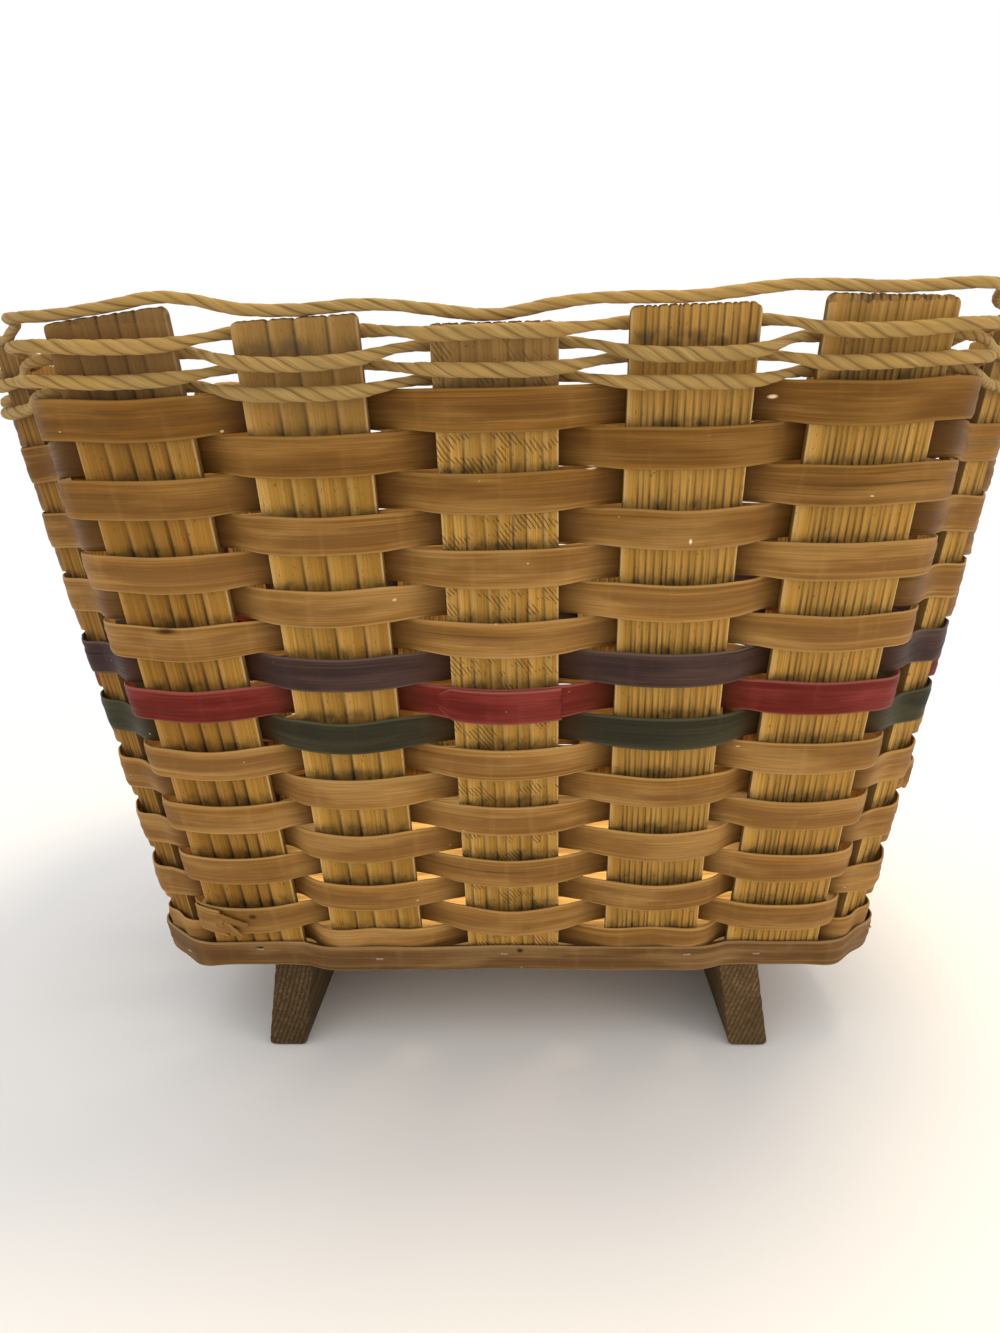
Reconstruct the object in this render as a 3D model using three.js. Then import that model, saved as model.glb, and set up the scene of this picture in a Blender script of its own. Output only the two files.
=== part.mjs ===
// Splint market basket: flat stakes on a board base, plain-woven splints, twisted-cord rim.
// Millimetres, +Z up, the long side along X, front at -Y, resting on Z = 0.

import * as THREE from 'three';

// Sizes of the stakes and of the basket's plan.
const stakeWidth = 38.1;
const cornerWidth = 19.05;         // the four corner stakes are half as wide as the others
const stakeThickness = 4;
const stakeTopCorner = 3;
const standHeight = 41.3;          // underside of the base board above the ground
const footDrop = 3.9;              // the foot positions below are given this far under the board
const planLevel = standHeight - footDrop;
const planRise = 258;              // height above planLevel of the rim positions below

// Outer-face centre of each kind of stake, half distances from the middle of the basket.
const middleFrontFootY = 97;
const middleFrontRimY = 170.5;
const innerFrontFootX = 57.3;
const innerFrontRimX = 58.9;
const outerFrontFootX = 108.3;
const outerFrontRimX = 116.2;
const innerFrontSetBack = 0.7;
const outerFrontSetBack = 3.4;
const cornerFootX = 142;
const cornerFootY = 86.5;
const cornerRimX = 181.2;
const cornerRimY = 107.2;
const cornerTurn = 47;             // degrees the corner stakes face away from the short sides
const middleSideFootX = 154.4;
const middleSideRimX = 201;
const outerSideFootY = 52;
const outerSideRimY = 57;
const outerSideFootSetBack = 1.2;
const outerSideRimSetBack = 0.8;

// Height of the stake tops above planLevel: the rim dips at the middle of the long sides.
const rimLow = 254.9;
const rimRiseInner = 2.6;
const rimRiseOuter = 4.6;
const rimRiseCorner = 5.6;
const rimRiseSide = 5.1;

// Weave.
const gap = 0.3;                   // clearance between pieces that lie against each other
const rows = 18;
const rowPitch = 12.42;            // height from one row of splint to the next
const firstRowLevel = 19.3;        // middle of the lowest row above planLevel
const splintHeight = 12;
const splintThickness = 1.4;
const crownBow = 3.6;              // how far a splint's middle line stands off the stake at its crown
const splintReach = 0.8;           // splints start to bend this far past a stake's edge
const colouredRows = [8, 9, 10];   // counted from the top: plum, red, green

const cordRows = 4;
const cordDiameter = 4.5;
const cordPitch = 4.8;
const cordBow = 4;
const cordDip = 2.2;               // the cords sag a little where they cross a stake
const cordReach = 1.5;
const cordSides = 5;

const rimCordDiameter = 3.9;
const rimCordLift = 3.1;           // the rim cord rises between the places where it is pinned
const rimCordSides = 5;

// Base.
const boardThickness = 9;
const fieldX = 100;                // half sizes of the board's middle field, clear of the weave
const fieldY = 68;
const bandHeight = 13.2;
const bandThickness = 1.5;
const runnerThickness = 16.6;
const runnerSpacing = 192.2;
const runnerSplay = 8.2;           // degrees
const runnerSetBack = 3;           // ends of the runners behind the stakes' outer faces
const runnerEdgeRound = 3;

// Derived.
const halfStake = stakeThickness / 2;
const edgeOffset = halfStake + splintThickness / 2 + gap;
const crownOffset = halfStake + crownBow;
const cordEdgeOffset = halfStake + cordDiameter / 2 + gap;
const cordCrownOffset = cordEdgeOffset + cordBow - cordDiameter / 2 - gap;
const up = new THREE.Vector3(0, 0, 1);
const radians = THREE.MathUtils.degToRad;

const group = new THREE.Group();
group.name = 'splint_market_basket';

function material(colour, roughness) {
  return new THREE.MeshStandardMaterial({ color: colour, roughness, metalness: 0 });
}

function addPiece(name, geometry, colour, roughness) {
  const mesh = new THREE.Mesh(geometry, material(colour, roughness));
  mesh.name = name;
  group.add(mesh);
}

// Stakes.
// The kinds of stake in one quarter of the plan, from the middle of the front to the side.
const quarter = {
  middle: {
    foot: [0, middleFrontFootY],
    rim: [0, middleFrontRimY],
    turn: 90,
    width: stakeWidth,
    rise: 0,
  },
  inner: {
    foot: [innerFrontFootX, middleFrontFootY - innerFrontSetBack],
    rim: [innerFrontRimX, middleFrontRimY - innerFrontSetBack],
    turn: 90,
    width: stakeWidth,
    rise: rimRiseInner,
  },
  outer: {
    foot: [outerFrontFootX, middleFrontFootY - outerFrontSetBack],
    rim: [outerFrontRimX, middleFrontRimY - outerFrontSetBack],
    turn: 90,
    width: stakeWidth,
    rise: rimRiseOuter,
  },
  corner: {
    foot: [cornerFootX, cornerFootY],
    rim: [cornerRimX, cornerRimY],
    turn: cornerTurn,
    width: cornerWidth,
    rise: rimRiseCorner,
  },
  outerSide: {
    foot: [middleSideFootX - outerSideFootSetBack, outerSideFootY],
    rim: [middleSideRimX - outerSideRimSetBack, outerSideRimY],
    turn: 0,
    width: stakeWidth,
    rise: rimRiseSide,
  },
  middleSide: {
    foot: [middleSideFootX, 0],
    rim: [middleSideRimX, 0],
    turn: 0,
    width: stakeWidth,
    rise: rimRiseSide,
  },
};

// Going round from the left end of the front; signs say in which quarter each stake stands.
const order = [
  ['outer', -1, -1], ['inner', -1, -1], ['middle', 1, -1], ['inner', 1, -1], ['outer', 1, -1],
  ['corner', 1, -1], ['outerSide', 1, -1], ['middleSide', 1, 1], ['outerSide', 1, 1], ['corner', 1, 1],
  ['outer', 1, 1], ['inner', 1, 1], ['middle', 1, 1], ['inner', -1, 1], ['outer', -1, 1],
  ['corner', -1, 1], ['outerSide', -1, 1], ['middleSide', -1, 1], ['outerSide', -1, -1], ['corner', -1, -1],
];

// A stake's frame: u runs level along the wall, v up the stake, n out of the basket.
function stakeFrame([kind, signX, signY]) {
  const plan = quarter[kind];
  const turn = radians(plan.turn);
  const facing = new THREE.Vector3(Math.cos(turn) * signX, Math.sin(turn) * signY, 0);
  const u = new THREE.Vector3().crossVectors(up, facing).normalize();
  const foot = new THREE.Vector3(plan.foot[0] * signX, plan.foot[1] * signY, planLevel);
  const rim = new THREE.Vector3(plan.rim[0] * signX, plan.rim[1] * signY, planLevel + planRise);
  const v = new THREE.Vector3().subVectors(rim, foot).normalize();
  const n = new THREE.Vector3().crossVectors(u, v).normalize();
  return { foot, u, v, n, width: plan.width, topLevel: planLevel + rimLow + plan.rise };
}

const stakes = order.map(stakeFrame);

// Point on the middle of a stake's thickness at a height, moved sideways and outwards.
function onStake(stake, level, sideways, outwards) {
  const along = (level - stake.foot.z) / stake.v.z;
  return stake.foot.clone()
    .addScaledVector(stake.v, along)
    .addScaledVector(stake.u, sideways)
    .addScaledVector(stake.n, outwards - halfStake);
}

// The level half width of a stake, which leans a little sideways.
function halfWidth(stake) {
  const across = new THREE.Vector3().crossVectors(stake.v, stake.n);
  return stake.width / 2 / Math.abs(across.dot(stake.u));
}

function makeStake(stake) {
  const half = stake.width / 2;
  const start = (standHeight - planLevel) / stake.v.z;
  const length = (stake.topLevel - planLevel) / stake.v.z;
  const round = stakeTopCorner;
  const outline = new THREE.Shape();
  outline.moveTo(-half, start);
  outline.lineTo(half, start);
  outline.lineTo(half, length - round);
  outline.quadraticCurveTo(half, length, half - round, length);
  outline.lineTo(round - half, length);
  outline.quadraticCurveTo(-half, length, -half, length - round);
  outline.closePath();
  const board = new THREE.ExtrudeGeometry(outline, {
    depth: stakeThickness,
    bevelEnabled: false,
    curveSegments: 2,
  });
  board.translate(0, 0, -stakeThickness);
  const across = new THREE.Vector3().crossVectors(stake.v, stake.n);
  const place = new THREE.Matrix4().makeBasis(across, stake.v, stake.n);
  place.setPosition(stake.foot);
  return board.applyMatrix4(place);
}

// Rings woven round the stakes.
// Closed sweep of a section along stations; each station has a point and its two section axes.
function sweepRing(stations, section) {
  const positions = [];
  const indices = [];
  const sides = section.length;
  const count = stations.length;
  stations.forEach(({ point, out, rise }) => {
    section.forEach(([a, b]) => {
      const corner = point.clone().addScaledVector(out, a).addScaledVector(rise, b);
      positions.push(corner.x, corner.y, corner.z);
    });
  });
  for (let i = 0; i < count; i += 1) {
    const next = (i + 1) % count;
    for (let j = 0; j < sides; j += 1) {
      const side = (j + 1) % sides;
      const p = i * sides + j;
      const q = i * sides + side;
      const r = next * sides + side;
      const s = next * sides + j;
      indices.push(p, s, r, p, r, q);
    }
  }
  const ring = new THREE.BufferGeometry();
  ring.setAttribute('position', new THREE.Float32BufferAttribute(positions, 3));
  ring.setIndex(indices);
  ring.computeVertexNormals();
  return ring;
}

// Four stations for each stake: its left edge, middle and right edge, then the gap to the next.
// Where two stakes face different ways the path across the gap curves from one to the other,
// and between stakes that face the same way a splint crosses straight and needs no station.
function weavePath(levelAt, offsetAt, reach, everyGap) {
  const stations = [];
  stakes.forEach((stake, index) => {
    const next = stakes[(index + 1) % stakes.length];
    const half = halfWidth(stake) + reach;
    [-1, 0, 1].forEach((place) => {
      const offset = offsetAt(index, place);
      const point = onStake(stake, levelAt(index, place), place * half, offset);
      stations.push({ point, rise: stake.v.clone() });
    });
    if (!everyGap && stake.u.dot(next.u) > 0.999) {
      return;
    }
    const here = onStake(stake, levelAt(index, 2), half, 0);
    const there = onStake(next, levelAt(index, 2), -halfWidth(next) - reach, 0);
    const span = here.distanceTo(there);
    const point = here.lerp(there, 0.5)
      .addScaledVector(stake.u, span / 8)
      .addScaledVector(next.u, -span / 8);
    const rise = new THREE.Vector3().addVectors(stake.v, next.v).normalize();
    stations.push({ point, rise, crossing: true });
  });
  stations.forEach((station, index) => {
    const before = stations[(index + stations.length - 1) % stations.length].point;
    const after = stations[(index + 1) % stations.length].point;
    const along = new THREE.Vector3().subVectors(after, before).normalize();
    station.out = new THREE.Vector3().crossVectors(along, station.rise).normalize();
  });
  return stations;
}

function roundSection(diameter, sides) {
  const section = [];
  for (let i = 0; i < sides; i += 1) {
    const angle = 2 * Math.PI * (i + 0.5) / sides;
    section.push([Math.cos(angle) * diameter / 2, Math.sin(angle) * diameter / 2]);
  }
  return section;
}

function flatSection(thickness, height) {
  const t = thickness / 2;
  const h = height / 2;
  return [[t, -h], [t, h], [-t, h], [-t, -h]];
}

// Stake 1 is the first of the front; odd rows pass in front of the odd stakes.
function side(row, stakeIndex) {
  return (row + stakeIndex) % 2 === 1 ? 1 : -1;
}

function rowLevel(row) {
  return planLevel + firstRowLevel + (rows - row) * rowPitch;
}

function makeWeaver(row) {
  const lowest = row === rows;
  const crown = lowest ? edgeOffset : crownOffset;
  const level = () => rowLevel(row);
  const offset = (index, place) => side(row, index) * (place === 0 ? crown : edgeOffset);
  const path = weavePath(level, offset, splintReach, false);
  return sweepRing(path, flatSection(splintThickness, splintHeight));
}

function cordLevel(row) {
  const lowest = rowLevel(1) + splintHeight / 2 + gap + 0.1 + cordDiameter / 2;
  return lowest + (cordRows - row) * cordPitch;
}

function makeCord(row) {
  const level = (index, place) => {
    const sag = place === 0 ? cordDip : cordDip / 2;
    return cordLevel(row) - (place === 2 ? 0 : sag);
  };
  const offset = (index, place) => {
    return side(row, index) * (place === 0 ? cordCrownOffset : cordEdgeOffset);
  };
  const path = weavePath(level, offset, cordReach, true);
  return sweepRing(path, roundSection(cordDiameter, cordSides));
}

// The rim cord lies on the stake tops, pinned at the middle of each and lifting in between.
function makeRimCord() {
  const level = (index, place) => {
    const here = stakes[index].topLevel;
    const next = stakes[(index + 1) % stakes.length].topLevel;
    const rest = rimCordDiameter / 2 + gap;
    if (place === 2) {
      return (here + next) / 2 + rest + rimCordLift * 0.9;
    }
    const lift = place === 0 ? 0 : rimCordLift * (place === 1 ? 1 : 0.5);
    return here + rest + lift;
  };
  const offset = () => 0;
  const path = weavePath(level, offset, 0, true);
  return sweepRing(path, roundSection(rimCordDiameter, rimCordSides));
}

// The band is pressed to the odd stakes and laps over the lowest row's crowns on the even ones.
function makeBand() {
  const level = () => standHeight + bandHeight / 2;
  const tight = halfStake + gap + bandThickness / 2;
  const lapped = edgeOffset + splintThickness / 2 + gap + bandThickness / 2;
  const offset = (index, place) => {
    if (place === 0) {
      return index % 2 === 0 ? tight : lapped;
    }
    return index % 2 === 0 ? (tight + lapped) / 2 : lapped;
  };
  const stations = weavePath(level, offset, splintReach, true);
  stations.forEach((station) => {
    if (station.crossing) {
      const bulge = lapped - 0.2;
      station.point.addScaledVector(station.out, bulge);
    }
  });
  return sweepRing(stations, flatSection(bandThickness, bandHeight));
}

// Base.
// Triangles that fill a level outline less its holes, anticlockwise seen from above.
function fillLevel(outline, holes) {
  const flat = (points) => points.map((point) => new THREE.Vector2(point.x, point.y));
  const corners = [...outline, ...holes.flat()];
  const faces = THREE.ShapeUtils.triangulateShape(flat(outline), holes.map(flat));
  return faces.map(([a, b, c]) => {
    const ab = new THREE.Vector3().subVectors(corners[b], corners[a]);
    const ac = new THREE.Vector3().subVectors(corners[c], corners[a]);
    return ab.cross(ac).z > 0 ? [a, b, c] : [a, c, b];
  });
}

// The board fills the inside of the stakes, its edge bevelled to their lean.
function makeBoard() {
  const inside = -(halfStake + gap);
  const [lower, upper] = [standHeight, standHeight + boardThickness].map((level) => {
    return stakes.flatMap((stake) => [-1, 1].map((place) => {
      const corner = onStake(stake, level, place * halfWidth(stake), inside);
      return corner.addScaledVector(stake.v, (level - corner.z) / stake.v.z);
    }));
  });
  const field = [[-1, -1], [-1, 1], [1, 1], [1, -1]].map(([signX, signY]) => {
    return new THREE.Vector3(signX * fieldX, signY * fieldY, standHeight + boardThickness);
  });
  const count = lower.length;
  const indices = [];
  for (let i = 0; i < count; i += 1) {
    const next = (i + 1) % count;
    indices.push(i, next, count + next, i, count + next, count + i);
  }
  fillLevel(lower, []).forEach(([a, b, c]) => indices.push(a, c, b));
  fillLevel(upper, [field]).forEach((face) => indices.push(...face.map((k) => k + count)));
  fillLevel(field, []).forEach((face) => indices.push(...face.map((k) => k + 2 * count)));
  const positions = [...lower, ...upper, ...field].flatMap((point) => point.toArray());
  const board = new THREE.BufferGeometry();
  board.setAttribute('position', new THREE.Float32BufferAttribute(positions, 3));
  board.setIndex(indices);
  board.computeVertexNormals();
  return board;
}

function makeRunner(sign) {
  const top = standHeight - gap;
  const half = runnerThickness / 2;
  const lean = top * Math.tan(radians(runnerSplay));
  const round = runnerEdgeRound;
  const outline = new THREE.Shape();
  outline.moveTo(-half, top);
  outline.lineTo(-half + lean * (1 - round / top), round);
  outline.quadraticCurveTo(-half + lean, 0, -half + lean + round, 0);
  outline.lineTo(half + lean - round, 0);
  outline.quadraticCurveTo(half + lean, 0, half + lean * (1 - round / top), round);
  outline.lineTo(half, top);
  outline.closePath();
  const length = 2 * (middleFrontFootY - runnerSetBack);
  const bevel = 1.2;
  const runner = new THREE.ExtrudeGeometry(outline, {
    depth: length - 2 * bevel,
    bevelEnabled: true,
    bevelThickness: bevel,
    bevelSize: bevel,
    bevelOffset: -bevel,
    bevelSegments: 1,
    curveSegments: 2,
  });
  runner.translate(0, 0, -(length - 2 * bevel) / 2);
  const place = new THREE.Matrix4().makeBasis(
    new THREE.Vector3(1, 0, 0),
    new THREE.Vector3(0, 0, 1),
    new THREE.Vector3(0, -1, 0),
  );
  runner.applyMatrix4(place);
  if (sign < 0) {
    runner.rotateZ(Math.PI);
  }
  runner.translate(sign * runnerSpacing / 2, 0, 0);
  return runner;
}

// Assembly.
const natural = 0xb0834f;
const dyes = [0x4f3b42, 0x8f343b, 0x3b4132];

function twoDigits(number) {
  return String(number).padStart(2, '0');
}

stakes.forEach((stake, index) => {
  addPiece(`stake_${twoDigits(index + 1)}`, makeStake(stake), 0xc39b5d, 0.78);
});
for (let row = 1; row <= rows; row += 1) {
  const dye = colouredRows.indexOf(row);
  const colour = dye < 0 ? natural : dyes[dye];
  addPiece(`weaver_${twoDigits(row)}`, makeWeaver(row), colour, 0.72);
}
for (let row = 1; row <= cordRows; row += 1) {
  addPiece(`cord_row_${row}`, makeCord(row), 0xcbb07a, 0.85);
}
addPiece('rim_cord', makeRimCord(), 0xcbb07a, 0.85);
addPiece('base_band', makeBand(), 0xa67c4c, 0.7);
addPiece('base_board', makeBoard(), 0xb38c58, 0.8);
addPiece('runner_left', makeRunner(-1), 0x5a4a31, 0.85);
addPiece('runner_right', makeRunner(1), 0x6a5a40, 0.85);

export default group;
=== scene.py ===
"""Looks of the splint market basket: ridged stakes, woven splints, twisted cord, weathered runners."""

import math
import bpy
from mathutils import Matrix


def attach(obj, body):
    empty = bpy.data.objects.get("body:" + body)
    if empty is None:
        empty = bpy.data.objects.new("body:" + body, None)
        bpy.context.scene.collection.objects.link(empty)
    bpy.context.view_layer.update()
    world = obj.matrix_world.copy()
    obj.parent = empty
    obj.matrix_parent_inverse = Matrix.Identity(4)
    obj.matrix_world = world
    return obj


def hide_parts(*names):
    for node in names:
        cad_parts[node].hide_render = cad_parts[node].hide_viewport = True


bl_info = {
    "name": "Splint market basket",
    "version": (1, 0, 0),
    "blender": (4, 5, 0),
    "location": "View3D > Sidebar > Basket",
    "description": "Dresses the packed basket with ridged stakes, woven splints, twisted cord and worn wood",
    "category": "Object",
}

import bpy
import numpy as np
from bpy.props import FloatProperty, FloatVectorProperty, PointerProperty
from mathutils import Matrix, Vector

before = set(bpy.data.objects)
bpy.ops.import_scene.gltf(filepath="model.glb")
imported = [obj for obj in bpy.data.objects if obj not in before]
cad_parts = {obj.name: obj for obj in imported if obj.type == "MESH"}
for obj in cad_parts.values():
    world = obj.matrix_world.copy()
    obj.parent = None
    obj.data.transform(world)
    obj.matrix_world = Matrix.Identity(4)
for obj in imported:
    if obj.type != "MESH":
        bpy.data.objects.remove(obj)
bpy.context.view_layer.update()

MM = 0.001
UP = np.array([0.0, 0.0, 1.0])
FULL_TURN = 2 * math.pi

# The basket's plan, as in the solids. Each kind of stake has the place of its outer face's centre at
# the foot and at the rim, the degrees that it faces away from +X, and the rise of its top.
STAND_HEIGHT = 41.3 * MM
FOOT_DROP = 3.9 * MM
PLAN_LEVEL = STAND_HEIGHT - FOOT_DROP
PLAN_RISE = 258 * MM
RIM_LOW = 254.9 * MM
GAP = 0.3 * MM
QUARTER = {
    "middle": ((0, 97), (0, 170.5), 90, 0),
    "inner": ((57.3, 96.3), (58.9, 169.8), 90, 2.6),
    "outer": ((108.3, 93.6), (116.2, 167.1), 90, 4.6),
    "corner": ((142, 86.5), (181.2, 107.2), 47, 5.6),
    "outer_side": ((153.2, 52), (200.2, 57), 0, 5.1),
    "middle_side": ((154.4, 0), (201, 0), 0, 5.1),
}
CORNER_SHARE = 0.5  # the corner stakes are half as wide as the others
# From the left end of the front to the back right corner; signs say in which quarter each stands.
HALF_ROUND = [
    ("outer", -1, -1), ("inner", -1, -1), ("middle", 1, -1), ("inner", 1, -1), ("outer", 1, -1),
    ("corner", 1, -1), ("outer_side", 1, -1), ("middle_side", 1, 1), ("outer_side", 1, 1),
    ("corner", 1, 1),
]
ORDER = HALF_ROUND + [(kind, -x, -y) for kind, x, y in HALF_ROUND]
COUNT = len(ORDER)

# What makes each stake its own, in the same order: how many flutes its faces have, by how many
# degrees the cut of its top rises to the right, how many millimetres of the top are worn off, how
# grey the top has weathered with painted shade over it, and how strongly its ridges show the marks of the
# saw.
FLUTES = [5, 4, 8, 16, 15, 4, 9, 14, 6, 5, 11, 5, 13, 8, 16, 5, 7, 12, 13, 4]
TOP_TILT = [6.2, 2.2, 0, 0.3, -2.5, 1, -1, 2, -3, 1, -2, 0.5, 3, -1.5, 2, -2, 1, -1, 2, 1.5]
TOP_WORN = [0, 0.7, 0.9, 0, 0.6, 0.3, 0.5, 0, 0.8, 0.2, 0, 0.6, 0.4, 0, 0.7, 0.1, 0.5, 0.3, 0.2, 0.6]
TOP_GREY_AND_SHADE = [
    0.8, 0.5, 0.6, 0.15, 0.3, 0.5, 0.2, 0.6, 0.4, 0.3, 0.7, 0.5, 0.2, 0.6, 0.4, 0.5, 0.3, 0.7, 0.4, 0.6]
SAW_MARKS = [0, 0.12, 1, 0, 0, 0.3, 0, 0, 0.9, 0, 0.1, 0, 0.8, 0, 0, 0.5, 0, 0, 0.2, 0]
FINE_FLUTES = 12  # stakes with at least this many flutes are finely ribbed
BROAD_FLUTES = 6  # and those with at most this many are broadly ribbed

ROWS = 18
ROW_PITCH = 12.42 * MM
FIRST_ROW = 19.3 * MM
ROW_HALF = 6 * MM
BROKEN_ROW = 17
DYED = {8: "splint_plum", 9: "splint_red", 10: "splint_green"}
CORD_ROWS = 4
CORD_PITCH = 4.8 * MM
CORD_REST = 2.25 * MM
CORD_CROWN = 4 * MM
CORD_DIP = 2.2 * MM
SPLINT_REACH = 0.8 * MM
CORD_REACH = 1.5 * MM
BAND_HEIGHT = 13.2 * MM
BAND_THICKNESS = 1.5 * MM
RUNNER_SPACING = 192.2 * MM
RUNNER_THICKNESS = 16.6 * MM
RUNNER_SPLAY = 8.2
RUNNER_LENGTH = 188 * MM

# Where the front of the woven cord settled higher or lower, in mm, by row and stake.
CORD_SETTLE = {
    (1, 2): 1.0, (1, 4): -1.2, (2, 1): -1.2, (2, 3): -1.4, (3, 2): 0.2, (4, 1): -0.5, (4, 3): 0.4,
}
# How far the rim cord hangs clear of the left and right corners of the front stakes, in mm.
RIM_SLACK = {0: (0.2, 0.1), 1: (1.9, 0.2), 2: (2.0, 2.6), 3: (0.3, 1.5), 4: (0.1, 1.2)}
# Where the staples of the front stakes are: sideways from the stake's middle and above the ground, in mm.
STAPLES = {0: (0, 51.0), 1: (0.6, 48.9), 2: (-3.9, 50.4), 3: (15, 51.0), 4: (-6.3, 47.9)}
# Oval marks on the front: x, z, half width and half height, in mm.
SPLINT_MARKS = ((-117, 197.2, 5.5, 1.6), (-107.8, 70.2, 2.6, 1.8))
# Pale chips and painted highlights on the splints.
SPLINT_FLAKES_AND_HIGHLIGHTS = (
    (29.1, 249.6, 2.4, 0.8), (84, 269.5, 2.0, 0.8), (61.1, 225.7, 0.7, 1.2), (35.6, 183.4, 2.0, 0.9))
BAND_KNOTS = ((2.8, 51.5, 2.0, 1.7), (-108.8, 51.1, 2.6, 1.1))
# The torn slivers over the first stake: points sideways, up and out of the basket, then widths, in mm.
SLIVERS = (
    ([(-13, 73.0, 5.4), (-9, 71.4, 6.1), (-5, 69.8, 6.5), (-0.8, 68.1, 6.3)], [3.2, 3.2, 3.0, 2.4]),
    ([(-13, 69.8, 5.4), (-9.5, 66.9, 6.1), (-6.5, 64.4, 6.5), (-3.6, 62.0, 6.2)], [5.6, 5.0, 3.4, 0.6]),
)
# The side and back stakes over which the rows' loose ends may lie.
LAPPED = (6, 7, 8, 10, 13, 14, 16, 17, 18)

# Points of a row's path over each stake and over each gap between two.
STAKE_STEPS = 18
GAP_STEPS = 12
STEPS = STAKE_STEPS + GAP_STEPS

# Seeds of what is uneven.
STAKE_SEED = 100
ROW_SEED = 300
BAND_SEED = 400
CORD_SEED = 500
RIM_SEED = 510
RUNNER_SEED = 700
LAP_SEED = 900
LAP_PLACE_SEED = 77
STAPLE_SEED = 41
SLIVER_SEED = 40

# The studio. Each light has its kind, place, power, colour and further settings.
DOWN = {"spot_size": math.radians(6.2), "spot_blend": 0.3, "shadow_soft_size": 0.01}
LIGHTS = {
    "inner_light_left": ("SPOT", (-0.055, -0.016, 1.3), 120.0, (1.0, 0.78, 0.42), DOWN),
    "inner_light_right": ("SPOT", (0.055, -0.016, 1.3), 120.0, (1.0, 0.78, 0.42), DOWN),
    "overhead_light": ("AREA", (0.3, 0.0, 1.3), 8.0, (1.0, 0.8, 0.5), {"shape": "DISK", "size": 0.45}),
    "side_light": ("AREA", (1.2, -0.9, 0.6), 3.0, (1.0, 0.82, 0.55), {"shape": "DISK", "size": 0.7}),
}
LIGHT_AIM = (0, 0, 0.16)
CAMERA_PLACE = (0.0104, -0.4473, 0.2509)
CAMERA_PITCH = 12.562
CAMERA_YAW = -2.21
CAMERA_ROLL = -1.288
CAMERA_LENS = 24.37
CAMERA_SENSOR = 36.0
FLOOR_REACH = 8.0


def length(name, description, default, low, high):
    """A size that the user can change, in millimetres here."""
    return FloatProperty(
        name=name, description=description, default=default * MM, min=low * MM, max=high * MM,
        unit="LENGTH")


def colour(name, description, default):
    """A finish's colour that the user can change."""
    return FloatVectorProperty(
        name=name, description=description, subtype="COLOR", default=default, min=0, max=1)


class BasketSizes(bpy.types.PropertyGroup):
    """Sizes that give the dressed pieces their relief."""

    stake_width: length("Stake width", "Width of the flat uprights", 38.1, 20, 60)
    stake_thickness: length("Stake thickness", "Thickness of the flat uprights", 4, 2, 8)
    flute_depth: length("Flute depth", "Depth of the grooves between the ridges of a stake", 0.6, 0, 1.5)
    splint_height: length("Splint width", "Width of the flat splint between two stakes", 12.42, 6, 12.6)
    splint_thickness: length("Splint thickness", "Thickness of the woven flat splint", 1.4, 0.8, 2)
    crown_bow: length("Crown bow", "How far a splint's middle stands off the stake it crosses", 3.6, 1, 5)
    cord_diameter: length("Cord diameter", "Thickness of the cord woven above the splints", 4.5, 3, 6)
    cord_lay: length("Cord lay", "Length of one full turn of the woven cord's twist", 20, 10, 80)
    rim_cord_diameter: length("Rim cord diameter", "Thickness of the cord on the stake tops", 3.8, 3, 6)
    rim_cord_lay: length("Rim cord lay", "Length of one full turn of the rim cord's twist", 26, 10, 80)
    staple_length: length("Staple", "Length of the staples in the foot band", 3.6, 1, 8)


class BasketColours(bpy.types.PropertyGroup):
    """Colours of the basket's finishes."""

    stake: colour("Stake", "Honey wood of the uprights", (0.50, 0.255, 0.042))
    # Dust colour, also painted as shade above each splint.
    dust_and_shade: colour("Dust", "Brown-grey dust in the grooves above each splint", (0.066, 0.044, 0.02))
    splint: colour("Splint", "Natural tan splint", (0.385, 0.18, 0.038))
    plum: colour("Plum", "Plum dye", (0.069, 0.038, 0.029))
    red: colour("Red", "Burgundy dye", (0.20, 0.022, 0.012))
    green: colour("Green", "Dark olive dye", (0.048, 0.042, 0.02))
    cord: colour("Cord", "Khaki straw cord", (0.38, 0.235, 0.07))
    band: colour("Band", "Splint band stapled round the foot", (0.23, 0.11, 0.03))
    board: colour("Board", "Sawn base board", (0.42, 0.25, 0.09))
    runner: colour("Runner", "Weathered dark wood of the runners", (0.12, 0.072, 0.03))
    staple: colour("Staple", "Dull staples in the foot band", (0.42, 0.33, 0.22))
    floor: colour("Floor", "Pale studio floor", (0.9, 0.9, 0.9))


# Plan and paths.


def unit(v):
    """The vector or vectors at length one."""
    return v / np.linalg.norm(v, axis=-1, keepdims=True)


class Stake:
    """Where an upright stands: u runs level along the wall, v up the stake, n out of the basket."""

    def __init__(self, index, kind, sign_x, sign_y):
        foot, rim, turn, rise = QUARTER[kind]
        turn = math.radians(turn)
        facing = np.array([math.cos(turn) * sign_x, math.sin(turn) * sign_y, 0.0])
        self.index = index
        self.share = CORNER_SHARE if kind == "corner" else 1.0
        self.foot = np.array([foot[0] * MM * sign_x, foot[1] * MM * sign_y, PLAN_LEVEL])
        top = np.array([rim[0] * MM * sign_x, rim[1] * MM * sign_y, PLAN_LEVEL + PLAN_RISE])
        self.u = unit(np.cross(UP, facing))
        self.v = unit(top - self.foot)
        self.n = unit(np.cross(self.u, self.v))
        self.across = np.cross(self.v, self.n)
        self.rise = rise * MM
        self.top = PLAN_LEVEL + RIM_LOW + self.rise
        self.tilt = math.tan(math.radians(TOP_TILT[index]))
        self.worn = TOP_WORN[index] * MM
        self.rightward = self.across * math.copysign(1, self.across @ self.u)

    def half_width(self, width):
        return width * self.share / 2 / abs(self.across @ self.u)

    def at(self, level, sideways, thickness):
        """Point on the middle of the thickness at a level, moved sideways."""
        up = (level - self.foot[2]) / self.v[2]
        return self.foot + self.v * up + self.u * sideways - self.n * thickness / 2


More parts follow.
